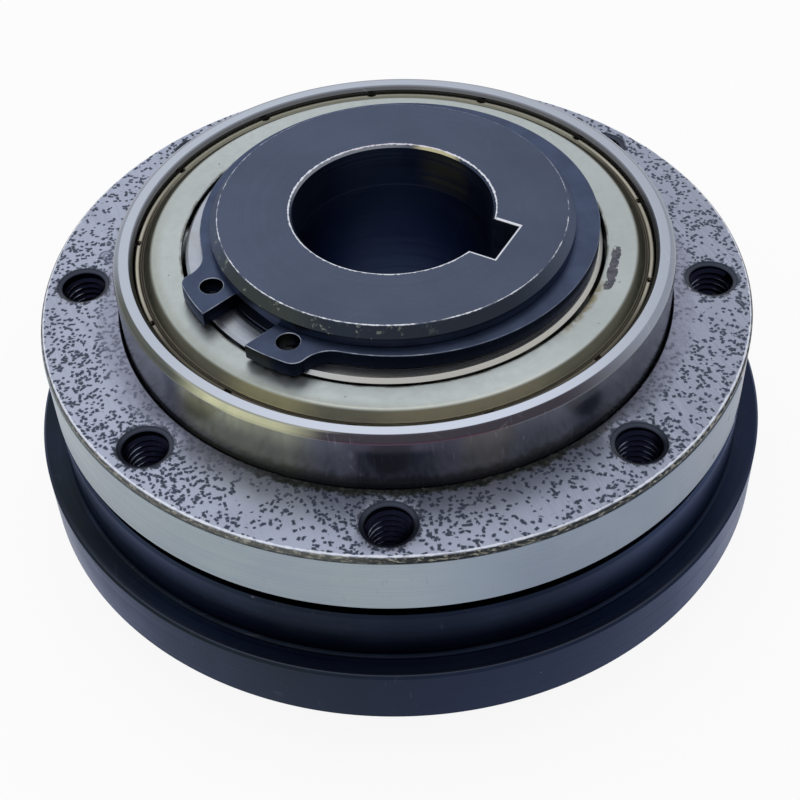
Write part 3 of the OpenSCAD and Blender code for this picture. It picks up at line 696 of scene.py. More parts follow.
class Finish:
    """A material under construction: its tree, its Principled BSDF and the coordinates of the piece."""

    def __init__(self, name, metallic=1.0, tint=WHITE):
        self.material = bpy.data.materials.new(name)
        self.tree = blank_tree(self.material)
        self.shader = put(self.tree, "ShaderNodeBsdfPrincipled", {
            "Metallic": metallic, "Specular Tint": (*tint, 1.0)})
        put(self.tree, "ShaderNodeOutputMaterial", {0: self.shader})
        where = self.use(round_coordinates())
        self.place, self.radius, self.height, self.turn, self.direction = where

    def use(self, group, **inputs):
        """Places a node group and returns its outputs; an input named with _ has a space in its place."""
        inputs = {key.replace("_", " "): value for key, value in inputs.items()}
        return tuple(put(self.tree, "ShaderNodeGroup", inputs, node_tree=group).outputs)

    def math(self, operation, *values):
        return maths(self.tree, operation, *values)

    def ramp(self, *values):
        return ramp(self.tree, *values)

    def under(self, value, full, end):
        """1 up to full, falling to 0 at end."""
        return self.ramp(value, full, end, 1.0, 0.0)

    def spread(self, grain, low=0.0, high=1.0):
        """The usual range of a noise brought to between two values."""
        return self.ramp(grain, 0.3, 0.7, low, high)

    def noise(self, scale, detail=2.0, rough=0.5):
        return noise(self.tree, self.place, scale, detail, rough)

    def stretched(self, along, detail=3.0, rough=0.6, turned=0.0):
        """Noise drawn out by three factors, after a turn round Z in radians."""
        place = self.place
        if turned:
            place = put(self.tree, "ShaderNodeVectorRotate", {"Vector": place, "Angle": turned},
                        rotation_type="Z_AXIS")
        return noise(self.tree, vector_maths(self.tree, "MULTIPLY", place, along), 1.0, detail, rough)

    def mix(self, share, first, second):
        """A colour between two; each is a socket or plain red, green and blue."""
        made = put(self.tree, "ShaderNodeMix", {0: share}, data_type="RGBA")
        for key, value in ((6, first), (7, second)):
            if isinstance(value, bpy.types.NodeSocket):
                self.tree.links.new(value, made.inputs[key])
            else:
                made.inputs[key].default_value = (*value, 1.0)
        return made.outputs[2]

    def layers(self, base, *layers):
        """Lays colours over a base one by one, each a (mask, colour) pair."""
        for mask, colour in layers:
            base = self.mix(mask, base, colour)
        return base

    def fold(self, operation, values):
        result = values[0]
        for value in values[1:]:
            result = self.math(operation, result, value)
        return result

    def both(self, *masks):
        """The product of masks and shares: high only where all of them are."""
        return self.fold("MULTIPLY", masks)

    def highest(self, *masks):
        return self.fold("MAXIMUM", masks)

    def near(self, value, at, full, end):
        """1 where a value is within full of at, falling to 0 at end from it."""
        return self.under(self.math("ABSOLUTE", self.math("SUBTRACT", value, at)), full, end)

    def near_turn(self, degrees, full, end):
        """1 within full degrees of a direction, falling to 0 at end degrees from it."""
        off = self.math("SUBTRACT", self.turn, math.radians(degrees))
        apart = self.math("ABSOLUTE", self.math("WRAP", off, math.pi, -math.pi))
        return self.under(apart, math.radians(full), math.radians(end))

    def sector(self, start, end, soft):
        """1 between two directions in degrees, with edges soft by so many degrees."""
        half = (end - start) / 2
        return self.near_turn((start + end) / 2, half - soft / 2, half + soft / 2)

    def distance(self, spot):
        """The distance from a place on the piece, in millimetres."""
        return vector_maths(self.tree, "DISTANCE", self.place, spot, out="Value")

    def ragged(self, value, scale, reach, detail=3.0):
        """A value moved to and fro by noise, so that an edge made of it is ragged."""
        return self.math("ADD", value, self.spread(self.noise(scale, detail, 0.7), -reach, reach))

    def marks(self, across, per_mm, waver, seed=0.0):
        """Fine lines left by a tool, each at one value of across."""
        return self.use(tool_marks(), Direction=self.direction, Across=across, Per_Millimetre=per_mm,
                        Waver=waver, Seed=seed)[0]

    def wear(self, radius, height, width, chips, amount):
        """Bare metal along a turned edge."""
        return self.use(edge_wear(), Place=self.place, Radius=self.radius, Height=self.height,
                        Edge_Radius=radius, Edge_Height=height, Width=width, Chips=chips, Amount=amount)[0]

    def scratches(self):
        return self.use(scuffs(), Place=self.place)[0]

    def scuffed(self, nicks, nick_size, nick_share, scratch_share):
        """Nicks and scratches, each weakened to its share."""
        scratch, nick = self.use(scuffs(), Place=self.place, Nicks=nicks, Nick_Size=nick_size)
        return self.highest(self.both(nick, nick_share), self.both(scratch, scratch_share))

    def holes(self, count):
        """The distance from the nearest threaded hole's axis and the direction away from it."""
        return self.use(hole_field(), Place=self.place, Turn=self.turn, Count=float(count),
                        Circle_Radius=HOLE_CIRCLE, First_Angle=math.radians(FIRST_HOLE))

    def set(self, **inputs):
        for key, value in inputs.items():
            self.tree.links.new(value, self.shader.inputs[key.replace("_", " ")])

    def bump(self, height, strength, distance):
        """Relief of a height field; the distance is in millimetres."""
        made = put(self.tree, "ShaderNodeBump", {
            "Height": height, "Strength": strength, "Distance": distance * MM})
        self.set(Normal=made.outputs[0])

    def end(self, base, grain, rough, bump, **more):
        """Links the colour, and lets a grain vary the roughness between two values and make the bump."""
        self.set(Base_Color=base, Roughness=self.spread(grain, *rough), **more)
        self.bump(grain, *bump)
        return self.material


class OxideFinish(Finish):
    """Black oxide: cloudy colour, faint turned lines, and bare metal along the given edges."""

    def __init__(self, name, colour, edges):
        super().__init__(name, tint=OXIDE_SHEEN)
        self.clouds = self.noise(0.09, 3.0, 0.6)
        self.fine = self.noise(1.8, 3.0, 0.6)
        self.lines = self.marks(self.math("ADD", self.radius, self.height), 3.2, 0.5)
        self.base = self.layers(
            darker(colour, 0.9),
            (self.spread(self.clouds), darker(colour, 1.1)),
            (self.ramp(self.fine, 0.5, 0.8, 0.0, 0.25), darker(colour, 1.3)))
        self.edges = self.highest(*[self.wear(*edge) for edge in edges])

    def end_oxide(self, base, wear, roughness=0.38):
        """Links the colour with its bare metal, the roughness and the bump."""
        turned = self.spread(self.lines, roughness - 0.05, roughness + 0.05)
        self.set(Base_Color=self.mix(wear, base, BARE_STEEL),
                 Roughness=self.math("ADD", turned, self.spread(self.clouds, -0.04, 0.04)))
        relief = self.math("ADD", self.both(self.lines, 0.4), self.both(self.fine, 0.4))
        self.bump(self.math("SUBTRACT", relief, self.both(wear, 0.5)), 0.15, 0.015)
        return self.material


def hub_finish(colour):
    """Black oxide: a bevel of painted reflections, a bright line round the mouth and the keyway, and a navy
    bore.
    """
    f = OxideFinish("Hub black oxide", colour, [(NOSE_RADIUS, HUB_TOP, 0.07, 2.5, 0.56)])
    # The bevel's colour is painted reflection: grey-blue at the sides, dark at the front and olive at the
    # front left, with pale chips
    bevel = f.both(f.ramp(f.radius, 19.12, 19.2), f.ramp(f.height, 39.5, 39.9))
    bevel_reflection = f.layers(
        (0.060, 0.075, 0.106),
        (f.near_turn(-92, 35, 75), (0.020, 0.025, 0.036)),
        (f.both(f.near_turn(-138, 12, 30), 0.8), (0.040, 0.047, 0.043)))
    chips = f.both(bevel, f.near_turn(-140, 35, 70), f.ramp(f.noise(0.8, 4.0, 0.72), 0.585, 0.63))
    # The bore is navy, with turned lines; it is painted lighter deep down than at the mouth, painted light
    # against the shade inside it, and has an olive golden painted reflection under the mouth at the back
    inside = f.under(f.radius, 11.02, 11.12)
    rings = f.stretched((0.05, 0.05, 2.2))
    gold_reflection = f.both(f.near_turn(55, 7, 22), f.ramp(f.height, 35.0, 36.2), f.ramp(rings, 0.3, 0.6, 0.3, 1.0))
    ring_lines = f.highest(
        f.both(f.near(f.height, 35.55, 0.04, 0.12), 0.5), f.both(f.near(f.height, 39.9, 0.03, 0.10), 0.3),
        f.both(f.near(f.height, 39.3, 0.03, 0.10), 0.3))
    bore = f.layers(
        (0.052, 0.077, 0.155),
        (f.ramp(f.height, 30.0, 39.0), (0.042, 0.060, 0.120)),
        (f.ramp(rings, 0.5, 0.7, 0.0, 0.4), (0.034, 0.046, 0.088)),
        (f.both(gold_reflection, 0.8), (0.19, 0.185, 0.11)),
        (ring_lines, (0.16, 0.18, 0.25)))
    # The chamfer at the mouth has painted highlights: pale at the back left and golden at the back right
    mouth = f.both(f.ramp(f.radius, 11.32, 11.27), f.ramp(f.height, 40.62, 40.7))
    chamfer = f.layers(
        (0.035, 0.045, 0.075),
        (f.near_turn(125, 30, 55), (0.17, 0.185, 0.22)),
        (f.near_turn(61, 8, 18), (0.42, 0.40, 0.25)))
    # Bare metal runs round the mouth and along the keyway
    keyway = f.use(slot_edge(), Place=f.place, Direction=math.radians(KEY_DIRECTION), Start=10.9,
                   Length=KEY_END + 0.1, Half_Width=3.1, Top=HUB_TOP, Width=0.2)[0]
    rim = f.highest(f.wear(MOUTH_RADIUS + 0.02, HUB_TOP, 0.12, 2.5, 0.95), keyway)
    # The bare metal is a little darker and more purple at the back: painted reflection
    bare = f.mix(f.near_turn(85, 20, 40), BARE_STEEL, (0.58, 0.55, 0.62))
    base = f.layers(
        f.base, (bevel, bevel_reflection), (f.both(chips, 0.75), (0.16, 0.185, 0.16)), (inside, bore),
        (mouth, chamfer), (rim, bare))
    # The worn edges are full strength round the front and fade at the back: wear with a painted highlight
    wear = f.both(f.edges, f.ramp(f.near_turn(-110, 85, 150), 0.0, 1.0, 0.3, 1.0))
    marks = f.both(f.scuffed(0.10, 0.07, 0.5, 0.012), f.math("SUBTRACT", 1.0, inside))
    return f.end_oxide(base, f.highest(wear, marks))


def cup_finish(colour):
    """Black oxide with painted reflections: the upper wall is darkest at the front, where the ledge is a
    little lighter, and painted shade in the corner at the wall's foot.
    """
    f = OxideFinish("Cup black oxide", colour, [
        (42.6, 14.05, 0.13, 1.5, 0.16), (42.5, 6.85, 0.2, 1.0, 0.3), (39.85, 20.6, 0.1, 1.5, 0.25)])
    wall = f.ramp(f.height, 14.3, 14.8)
    ledge = f.both(f.ramp(f.height, 14.1, 14.17), f.ramp(f.radius, 40.35, 40.6))
    foot = f.both(f.ramp(f.height, 14.17, 14.3), f.under(f.height, 14.6, 15.0),
                  f.near(f.radius, 40.2, 0.3, 0.4))
    drips = f.stretched((0.12, 0.12, 0.02), detail=2.0, rough=0.5)
    base = f.layers(
        f.base,
        # Painted reflections: the upper wall is dark at the front and lighter at the sides, less blue at the
        # left, and the ledge and its outer edge are lighter at the front
        (wall, f.mix(f.near_turn(-90, 18, 50), darker(colour, 2.4), darker(colour, 0.7))),
        (f.both(f.near_turn(-140, 30, 60), f.math("MULTIPLY_ADD", wall, -0.5, 1.0)),
         (0.0125, 0.0165, 0.022)),
        (f.both(ledge, f.near_turn(-90, 25, 60)), darker(colour, 2.0)),
        (f.both(ledge, f.ramp(f.radius, 41.9, 42.4), f.near_turn(-90, 40, 75)), (0.034, 0.040, 0.058)),
        # Painted shade in the corner at the foot of the upper wall
        (f.both(foot, 0.85), darker(colour, 0.25)),
        (f.ramp(drips, 0.45, 0.75, 0.0, 0.35), darker(colour, 1.35)))
    wear = f.highest(f.both(f.edges, 0.35), f.scuffed(0.05, 0.06, 0.2, 0.02))
    return f.end_oxide(base, wear, 0.34)


def nut_finish(colour):
    """Black oxide with nicks, bare along the two edges of the underside."""
    f = OxideFinish("Nut black oxide", colour, [
        (29.75, 1.25, 0.2, 1.5, 0.5), (18.3, 1.25, 0.2, 1.5, 0.45)])
    return f.end_oxide(f.base, f.highest(f.edges, f.scuffed(0.12, 0.1, 0.5, 0.1)))


def clip_finish(colour):
    """Phosphated spring steel with painted shade, almost black at its sides, and bare along the stamped edges
    of the lugs, brightest at the front left.
    """
    f = Finish("Retaining ring phosphate", tint=OXIDE_SHEEN)
    side = f.under(f.height, 38.62, 38.74)
    base = f.layers(
        darker(colour, 0.88),
        (f.spread(f.noise(0.3, 3.0, 0.6)), darker(colour, 1.12)),
        # Painted shade and reflection: darker at the front, almost black on the sides, and olive on a side at
        # the front left
        (f.both(f.near_turn(-90, 30, 80), 0.18), darker(colour, 0.4)),
        (side, (0.005, 0.0075, 0.016)),
        (f.both(side, f.near_turn(-127, 3, 7)), (0.030, 0.033, 0.024)))
    edge = put(f.tree, "ShaderNodeAttribute", attribute_name="worn_edge").outputs["Fac"]
    gaps = f.ramp(f.noise(0.5, 3.0, 0.7), 0.38, 0.6, 0.3, 1.0)
    # The bare stamped edges are strongest round the front left: wear with a painted highlight
    lugs = f.ramp(f.near_turn(-137, 35, 80), 0.0, 1.0, 0.3, 1.0)
    bare = f.both(edge, gaps, lugs, f.ramp(f.height, 38.68, 38.76))
    wear = f.highest(bare, f.scuffed(0.06, 0.05, 0.3, 0.04))
    return f.end(f.mix(wear, base, (0.33, 0.36, 0.42)), f.noise(4.0, 3.0, 0.6), (0.33, 0.46), (0.1, 0.01))


def inner_ring_finish(colour):
    """Ground steel with turned lines, a warmer painted reflection at the front right, and a thin brown film
    in places.
    """
    f = Finish("Inner ring ground steel")
    streak = f.stretched((0.35, 0.35, 0.03))
    base = f.layers(
        colour,
        (f.ramp(streak, 0.35, 0.7, 0.0, 0.6), darker(colour, 0.8)),
        # Painted reflection: warmer at the front right
        (f.near_turn(-60, 35, 75), (0.415, 0.41, 0.39)),
        (f.both(f.ramp(f.noise(0.07, 3.0, 0.6), 0.42, 0.66), 0.2), (0.36, 0.33, 0.22)),
        (f.both(f.scratches(), 0.2), darker(colour, 1.25)))
    return f.end(base, f.marks(f.radius, 7.0, 0.35), (0.255, 0.36), (0.05, 0.01))


def outer_ring_finish(colour):
    """Ground steel with painted reflections: a bright face, a rounding golden at the front left and a dark
    outside.
    """
    f = Finish("Outer ring ground steel")
    streak = f.stretched((0.22, 0.22, 0.02))
    low = f.under(f.height, 33.2, 36.2)
    patch = f.under(f.height, 34.6, 35.7)
    # The wall: painted reflections, with a bright golden strip and dark patches at the front; the colour
    # grows darker towards its foot
    outside = f.layers(
        (0.088, 0.100, 0.122),
        (f.near_turn(-90, 32, 85), (0.17, 0.18, 0.215)),
        (f.sector(-141, -135, 3.0), (0.06, 0.066, 0.10)),
        (f.near_turn(-122, 10, 17), (0.55, 0.56, 0.38)),
        (f.both(f.near_turn(-122, 14, 20), low, f.ramp(streak, 0.3, 0.6, 0.6, 0.25)), (0.15, 0.145, 0.10)),
        (f.sector(-100, -79, 3.0), (0.12, 0.11, 0.155)),
        (f.both(patch, f.near_turn(-90, 5, 8)), (0.012, 0.014, 0.034)),
        (f.both(patch, f.near_turn(-97, 0.8, 2)), (0.012, 0.014, 0.034)),
        (f.both(f.sector(-79, -69, 4.0), 0.8), (0.16, 0.14, 0.12)),
        (f.both(patch, f.near_turn(-52, 1, 6)), (0.035, 0.040, 0.075)),
        (f.ramp(streak, 0.35, 0.7, 0.0, 0.5), (0.07, 0.075, 0.09)),
        (f.both(low, 0.45), (0.03, 0.034, 0.045)),
        (f.ramp(f.height, 32.4, 30.3, 0.0, 0.8), (0.020, 0.021, 0.030)))
    # The rounding is painted reflection: dark at the front and olive at the left, with a golden painted
    # highlight at the front left
    rounding = f.layers(
        (0.24, 0.265, 0.32),
        (f.near_turn(-88, 28, 58), (0.046, 0.041, 0.053)),
        (f.near_turn(-147, 12, 32), (0.077, 0.084, 0.074)),
        (f.both(f.near_turn(-121, 7, 18), f.ramp(streak, 0.3, 0.6, 1.0, 0.75)), (0.51, 0.52, 0.34)),
        (f.both(f.near(f.radius, 30.35, 0.05, 0.22), f.near_turn(-121, 12, 22)), (0.24, 0.25, 0.22)))
    # The line where the wall turns into the rounding has a painted highlight at both sides and a purple
    # painted reflection at the front
    turn_height = 36.31
    seam = f.near(f.height, turn_height, 0.05, 0.1)
    purple = f.both(f.near(f.height, turn_height, 0.02, 0.2), f.sector(-104, -72, 14.0), 0.7)
    base = f.layers(
        f.mix(f.ramp(f.height, 36.26, 36.36), outside, rounding),
        (f.both(seam, f.sector(-165, -125, 6.0)), (0.165, 0.175, 0.18)),
        (f.both(seam, f.sector(-52, -22, 6.0)), (0.155, 0.165, 0.18)),
        (purple, (0.065, 0.020, 0.045)),
        # The face is brighter at the front: painted reflection
        (f.ramp(f.height, 36.975, 36.995),
         f.mix(f.near_turn(-88, 12, 62), darker(colour, 0.74), darker(colour, 0.97))),
        (f.both(f.under(f.radius, 29.0, 29.2), 0.75), (0.055, 0.05, 0.042)),
        (f.both(f.scratches(), 0.1), darker(colour, 1.2)))
    return f.end(base, f.marks(f.height, 7.0, 0.35), (0.18, 0.26), (0.05, 0.01),
                 Metallic=f.ramp(f.height, 36.25, 36.4, 0.6, 1.0))


def plain_finish(name, colour, roughness, grain, metallic=1.0):
    """A finish for small or hidden pieces: cloudy colour and a fine grain."""
    f = Finish(name, metallic=metallic)
    base = f.mix(f.spread(f.noise(0.25, 3.0, 0.6)), darker(colour, 0.8), darker(colour, 1.1))
    return f.end(base, f.noise(grain, 3.0, 0.6), (roughness * 0.8, roughness * 1.3), (0.1, 0.01))


def shield_finish(colour, notches):
    """Satin sheet: a soft painted sheen round its flat, painted reflections and highlights on its olive slope
    and bead, a dark crimp, and two stains.
    """
    f = Finish("Shield sheet")
    grain = f.noise(1.1, 4.0, 0.7)
    sheen = noise(f.tree, f.direction, 1.7, 3.0, 0.6)
    radius = f.ragged(f.radius, 1.4, 0.02)
    # The slope is painted reflection: dark olive, lighter at the front, with a golden painted highlight at
    # the front left
    slope = f.layers(
        (0.080, 0.080, 0.062),
        (f.near_turn(-75, 12, 25), (0.125, 0.116, 0.083)),
        (f.near_turn(-119, 4, 14), (0.155, 0.148, 0.088)))
    # The bead is dark, with a painted highlight along its top except at the front and an olive painted
    # reflection at the back
    bead = f.layers(
        (0.060, 0.056, 0.044),
        (f.both(f.near(f.radius, 28.34, 0.08, 0.24), f.near_turn(90, 105, 125)), (0.37, 0.355, 0.30)),
        (f.ramp(sheen, 0.35, 0.65, 0.0, 0.4), (0.12, 0.11, 0.09)),
        (f.both(f.near_turn(95, 50, 75), 0.85), (0.19, 0.19, 0.155)))
    # Each notch has a dark line of painted shade across the bead, save at the front
    step = TAU / notches
    turn = f.math("DIVIDE", f.math("SUBTRACT", f.turn, math.radians(FIRST_NOTCH)), step)
    local = f.both(f.math("SUBTRACT", turn, f.math("ROUND", turn)), step)
    aside = f.math("ABSOLUTE", f.both(local, 28.5))
    notch = f.both(f.under(aside, 0.22, 0.3), f.ramp(f.radius, 28.12, 28.2), f.near_turn(90, 115, 130))
    # A dark flaked stain and rust beside it, on the right as in the photograph
    patch = f.both(f.near_turn(-17, 5, 12), f.near(f.radius, 24.45, 0.3, 0.8))
    flaked = f.ramp(f.math("MULTIPLY_ADD", f.noise(0.8, 4.0, 0.65), 3.0, patch), 2.10, 2.18)
    rusty = f.both(f.near_turn(-33, 6, 16), f.under(f.radius, 23.7, 24.4))
    lip = f.under(f.radius, 23.55, 23.75)
    base = f.layers(
        colour,
        # Painted sheen and reflections on the flat: a soft sheen round it, lighter at the front, and olive
        # towards the slope at the front left
        (f.spread(sheen, 0.0, 0.6), darker(colour, 0.85)),
        (f.ramp(grain, 0.4, 0.75, 0.0, 0.3), darker(colour, 0.85)),
        (f.both(f.near_turn(-85, 20, 50), 0.8), darker(colour, 1.16)),
        (f.both(f.ramp(f.radius, 25.3, 26.5), f.near_turn(-140, 35, 70), 0.4), (0.20, 0.215, 0.17)),
        (f.ramp(f.radius, 26.55, 26.95), slope),
        # A painted highlight along the bend at the flat's outer edge, at the front
        (f.both(f.near(f.radius, 26.52, 0.05, 0.2), f.near_turn(-85, 20, 40), 0.7), (0.50, 0.52, 0.47)),
        (f.ramp(radius, 27.72, 27.8), (0.020, 0.016, 0.012)),
        (f.ramp(radius, 27.88, 27.97), bead),
        # Painted shade in the gap outside the bead, darkest at the front
        (f.ramp(radius, 28.62, 28.72),
         f.mix(f.near_turn(-90, 55, 85), (0.018, 0.014, 0.010), (0.05, 0.045, 0.036))),
        (notch, (0.006, 0.005, 0.005)),
        (flaked, f.mix(f.ramp(grain, 0.4, 0.6), (0.060, 0.063, 0.082), (0.105, 0.108, 0.125))),
        (f.both(rusty, f.ramp(f.noise(0.9, 4.0, 0.7), 0.35, 0.62)), (0.19, 0.165, 0.105)),
        (f.both(lip, f.ramp(f.noise(0.5), 0.4, 0.6, 0.2, 0.8)), (0.08, 0.078, 0.06)))
    return f.end(base, grain, (0.30, 0.42), (0.05, 0.01))


def flange_finish(colour, dark, holes):
    """Ground steel full of short dark flecks, with dark countersinks, a dark foot at the front, a chipped
    rim, painted reflections and painted shade.
    """
    f = Finish("Flange ground steel", metallic=0.9)
    ground = f.stretched((4.5, 0.22, 0.3), rough=0.7, turned=-0.35)
    long_lines = f.ramp(f.stretched((7.0, 0.05, 0.3), rough=0.4, turned=-0.40), 0.64, 0.72)
    mottle = f.noise(1.6, 3.0, 0.7)
    radius = f.ragged(f.radius, 0.35, 0.6, 4.0)
    # A film at the bearing's foot blurs and hides the flecks: wide at the left, narrow at the right
    film = f.highest(
        f.both(f.under(radius, 32.4, 35.0), f.near_turn(-170, 45, 70)),
        f.both(f.under(radius, 33.2, 34.2), f.near_turn(0, 40, 60)))
    # Darker at the bearing's foot at the front, with a ragged edge
    dark_foot = f.both(f.under(f.ragged(f.radius, 0.8, 0.35), 31.9, 32.4), f.near_turn(-85, 25, 50))
    cover = f.math("MULTIPLY_ADD", f.near_turn(180, 30, 75), 0.12, 0.45)
    marks = f.both(f.use(flecks(), Place=f.place, Cover=cover)[0],
                   f.ramp(f.height, FLANGE_FACE - 0.12, FLANGE_FACE - 0.02),
                   f.math("MULTIPLY_ADD", film, -0.5, 1.0))
    # The countersinks, with turned lines and ragged dark surroundings
    away = f.holes(holes)[0]
    around = f.under(f.ragged(away, 2.2, 0.35), 3.05, 3.3)
    lines = noise(f.tree, put(f.tree, "ShaderNodeCombineXYZ", {"X": away}).outputs[0], 5.0, 3.0)
    cone = f.mix(f.ramp(lines, 0.4, 0.65), (0.020, 0.025, 0.040), (0.048, 0.056, 0.080))
    # The rim above the tag: a bright edge, then a dark strip with pale chips, lighter at the front left as
    # painted reflection
    strip = f.both(f.ramp(f.radius, 39.78, 39.88), f.ramp(f.height, 28.9, 29.1))
    chips = f.ramp(f.marks(f.height, 3.5, 55.0, 3.0), 0.50, 0.60)
    # A black gap round the bearing, painted shade, with short bright painted glints at the front
    gap = f.under(f.radius, 31.28, 31.42)
    glints = f.both(gap, f.ramp(f.radius, 31.1, 31.2), f.ramp(f.noise(2.6, 1.0), 0.58, 0.64),
                    f.highest(f.near_turn(-60, 25, 40), f.near_turn(-125, 9, 14)))
    # A round mark beside a hole, left by a punch
    punch = f.distance((-33.6, 6.7, FLANGE_FACE))
    punched = f.highest(f.both(f.near(punch, 0.72, 0.1, 0.22), 0.75),
                        f.both(f.near(punch, 0.3, 0.1, 0.2), 0.6))
    base = f.layers(
        darker(colour, 1.04),
        (f.ramp(ground, 0.35, 0.7), darker(colour, 0.86)),
        # Painted reflections: lighter at the back left and at the front left
        (f.both(f.near_turn(150, 60, 110), 0.6), darker(colour, 1.22)),
        (f.near_turn(-112, 32, 55), darker(colour, 1.17)),
        (f.ramp(f.noise(0.08, 3.0, 0.6), 0.45, 0.7, 0.0, 0.35), darker(colour, 0.78)),
        (f.both(f.scratches(), 0.2), darker(colour, 1.5)),
        (f.both(long_lines, 0.3), darker(colour, 1.4)),
        (f.both(film, 0.6), f.mix(f.ramp(mottle, 0.35, 0.65), (0.17, 0.175, 0.245), (0.24, 0.25, 0.335))),
        (marks, f.mix(f.ramp(ground, 0.4, 0.7), dark, darker(dark, 1.5))),
        (punched, darker(dark, 1.5)),
        (dark_foot, f.mix(f.ramp(mottle, 0.4, 0.6), (0.040, 0.045, 0.045), (0.090, 0.098, 0.090))),
        (f.both(around, 0.85), (0.042, 0.049, 0.070)),
        (f.under(away, 2.96, 3.02), cone),
        # The wall of each hole is painted nearly black as shade
        (f.under(away, 2.47, 2.53), (0.010, 0.012, 0.026)),
        (strip, f.mix(f.near_turn(-128, 24, 40), (0.022, 0.025, 0.027), (0.080, 0.085, 0.080))),
        (f.both(strip, chips, f.ramp(mottle, 0.3, 0.55)), (0.26, 0.255, 0.22)),
        (gap, (0.008, 0.009, 0.014)),
        (f.both(glints, 0.6), (0.5, 0.5, 0.52)),
        (f.wear(39.72, 30.07, 0.12, 1.0, 0.9), (0.60, 0.63, 0.72)),
        # Painted shade on the lower, hidden surfaces below the rim
        (f.ramp(f.height, 24.0, 23.0, 0.0, 0.5), darker(colour, 0.4)))
    f.set(Base_Color=base, Roughness=f.math("ADD", f.spread(ground, 0.30, 0.42), f.both(marks, 0.25)))
    f.bump(f.math("SUBTRACT", f.both(ground, 0.4), f.both(marks, 0.8)), 0.2, 0.02)
    return f.material


def tapped_finish(holes):
    """The inside of the tapped holes: painted almost black as shade, with painted highlights on the deeper
    crests at the left.
    """
    f = Finish("Tapped hole steel")
    away, side = f.holes(holes)
    left, right = (vector_maths(f.tree, "DOT_PRODUCT", side, aim, out="Value")
                   for aim in ((-0.80, 0.60, 0.0), (0.90, 0.43, 0.0)))
    crest = f.both(f.under(away, 2.13, 2.18), f.under(f.height, 28.3, 28.9))
    lit = f.highest(f.ramp(left, 0.80, 0.98),
                    f.both(f.ramp(right, 0.72, 0.95), f.near_turn(-20, 45, 60), 0.5))
    broken = f.ramp(f.noise(1.2, 3.0, 0.6), 0.40, 0.55, 0.3, 1.0)
    # Painted shade in the holes, with painted highlights on the lit crests
    f.set(Base_Color=f.mix(f.both(crest, lit, broken), (0.006, 0.007, 0.016), (0.21, 0.24, 0.31)),
          Roughness=f.spread(f.noise(2.0), 0.25, 0.4))
    return f.material


def foil_finish(colour):
    """Satin foil with faint lengthwise rolling lines, painted reflections and two small dark nicks."""
    f = Finish("Tag foil", metallic=0.9)
    lines = f.marks(f.height, 6.0, 0.8)
    red, green, blue = colour
    base = f.layers(
        colour,
        # Painted reflections: less blue at the front left and darker at the front right
        (f.near_turn(-125, 25, 55), (red, green, blue * 0.88)),
        (f.near_turn(-45, 25, 45), (red * 0.66, green * 0.68, blue * 0.72)),
        (f.ramp(lines, 0.35, 0.7, 0.0, 0.5), darker(colour, 0.9)),
        (f.ramp(f.noise(0.12, 3.0, 0.6), 0.4, 0.7, 0.0, 0.4), darker(colour, 0.85)),
        (f.both(f.scratches(), 0.3), darker(colour, 0.6)))
    for degrees, height in ((-29.7, 26.4), (-34.5, 23.7)):
        turn = math.radians(degrees)
        away = f.distance((TAG_OUTSIDE * math.cos(turn), TAG_OUTSIDE * math.sin(turn), height))
        base = f.mix(f.under(f.ragged(away, 3.0, 0.2), 0.18, 0.3), base, (0.05, 0.05, 0.06))
    return f.end(base, lines, (0.32, 0.46), (0.06, 0.01))


def dress(beginning, material):
    """Gives the CAD nodes whose names begin so, and that stay in view, their finish."""
    for name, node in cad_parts.items():
        if name.startswith(beginning):
            node.data.materials.clear()
            node.data.materials.append(material)


# Operators

def settings(context):
    """The sizes, the colours, and the rounding of a broken edge in millimetres."""
    sizes = context.scene.clutch_sizes
    return sizes, context.scene.clutch_colours, sizes.edge_round / MM


class CLUTCH_OT_hub(bpy.types.Operator):
    """Makes the hub with its keyway, carrier holes and thread"""
    bl_idname = "clutch.hub"
    bl_label = "Hub"

    def execute(self, context):
        sizes, colours, e = settings(context)
        material = hub_finish(tuple(colours.hub))
        piece = turned_piece("hub_body", [
            (MOUTH_RADIUS, 0, e), (17.0, 0, e), (17.2, 0.3, 0), (17.1, 4.7, 0), (17, 4.7, 0), (17, 5.7, 0.2),
            (19, 5.7, e), (19, 17, 0.3), (35.5, 17, e), (36, 17.5, e), (36, 20.5, e), (35.5, 21, e),
            (22.5, 21, 0.3), (22.5, 25, e), (19.99, 25, 0), (19.99, 37, 0.05), (18.75, 37, 0.1),
            (18.75, 38.83, 0.1), (19.99, 38.83, 0.08), (19.99, 39.9, e), (NOSE_RADIUS, HUB_TOP, e),
            (MOUTH_RADIUS, HUB_TOP, 0.07), (11, 40.7, 0.07), (11, 0.3, 0.07)], sizes, material)
        # The through holes that carry the drive balls, then the keyway with its edges broken at both ends
        cut_pattern(piece, round_cutter("carrier_cutter", BALL_CIRCLE, [(4.05, 16.5), (4.05, 21.5)]),
                    sizes.ball_count, FIRST_BALL, material)
        heights, grow = [-1, -0.1, 0.1, 40.9, 41.1, 42], [0.35, 0.2, 0, 0, 0.2, 0.35]
        cut_pattern(piece, prism_mesh("key_cutter", box_sections(1, KEY_END, 3, heights, grow)),
                    1, KEY_DIRECTION, material)
        seat(piece, "hub", "hub_side")
        thread_piece("hub_thread", "hub_side", {
            "Turns": 2.6, "Pitch": sizes.hub_pitch, "Root Radius": 17.08 * MM, "Depth": 0.9 * MM,
            "Crest Width": 0.2 * MM, "Root Width": 1.35 * MM, "Steps Per Turn": 128, "Fade": 0.08,
            "Count": 1, "Circle Radius": 0.0, "First Angle": 0.0, "Base Height": 0.72 * MM,
            "Material": material})
        return {"FINISHED"}


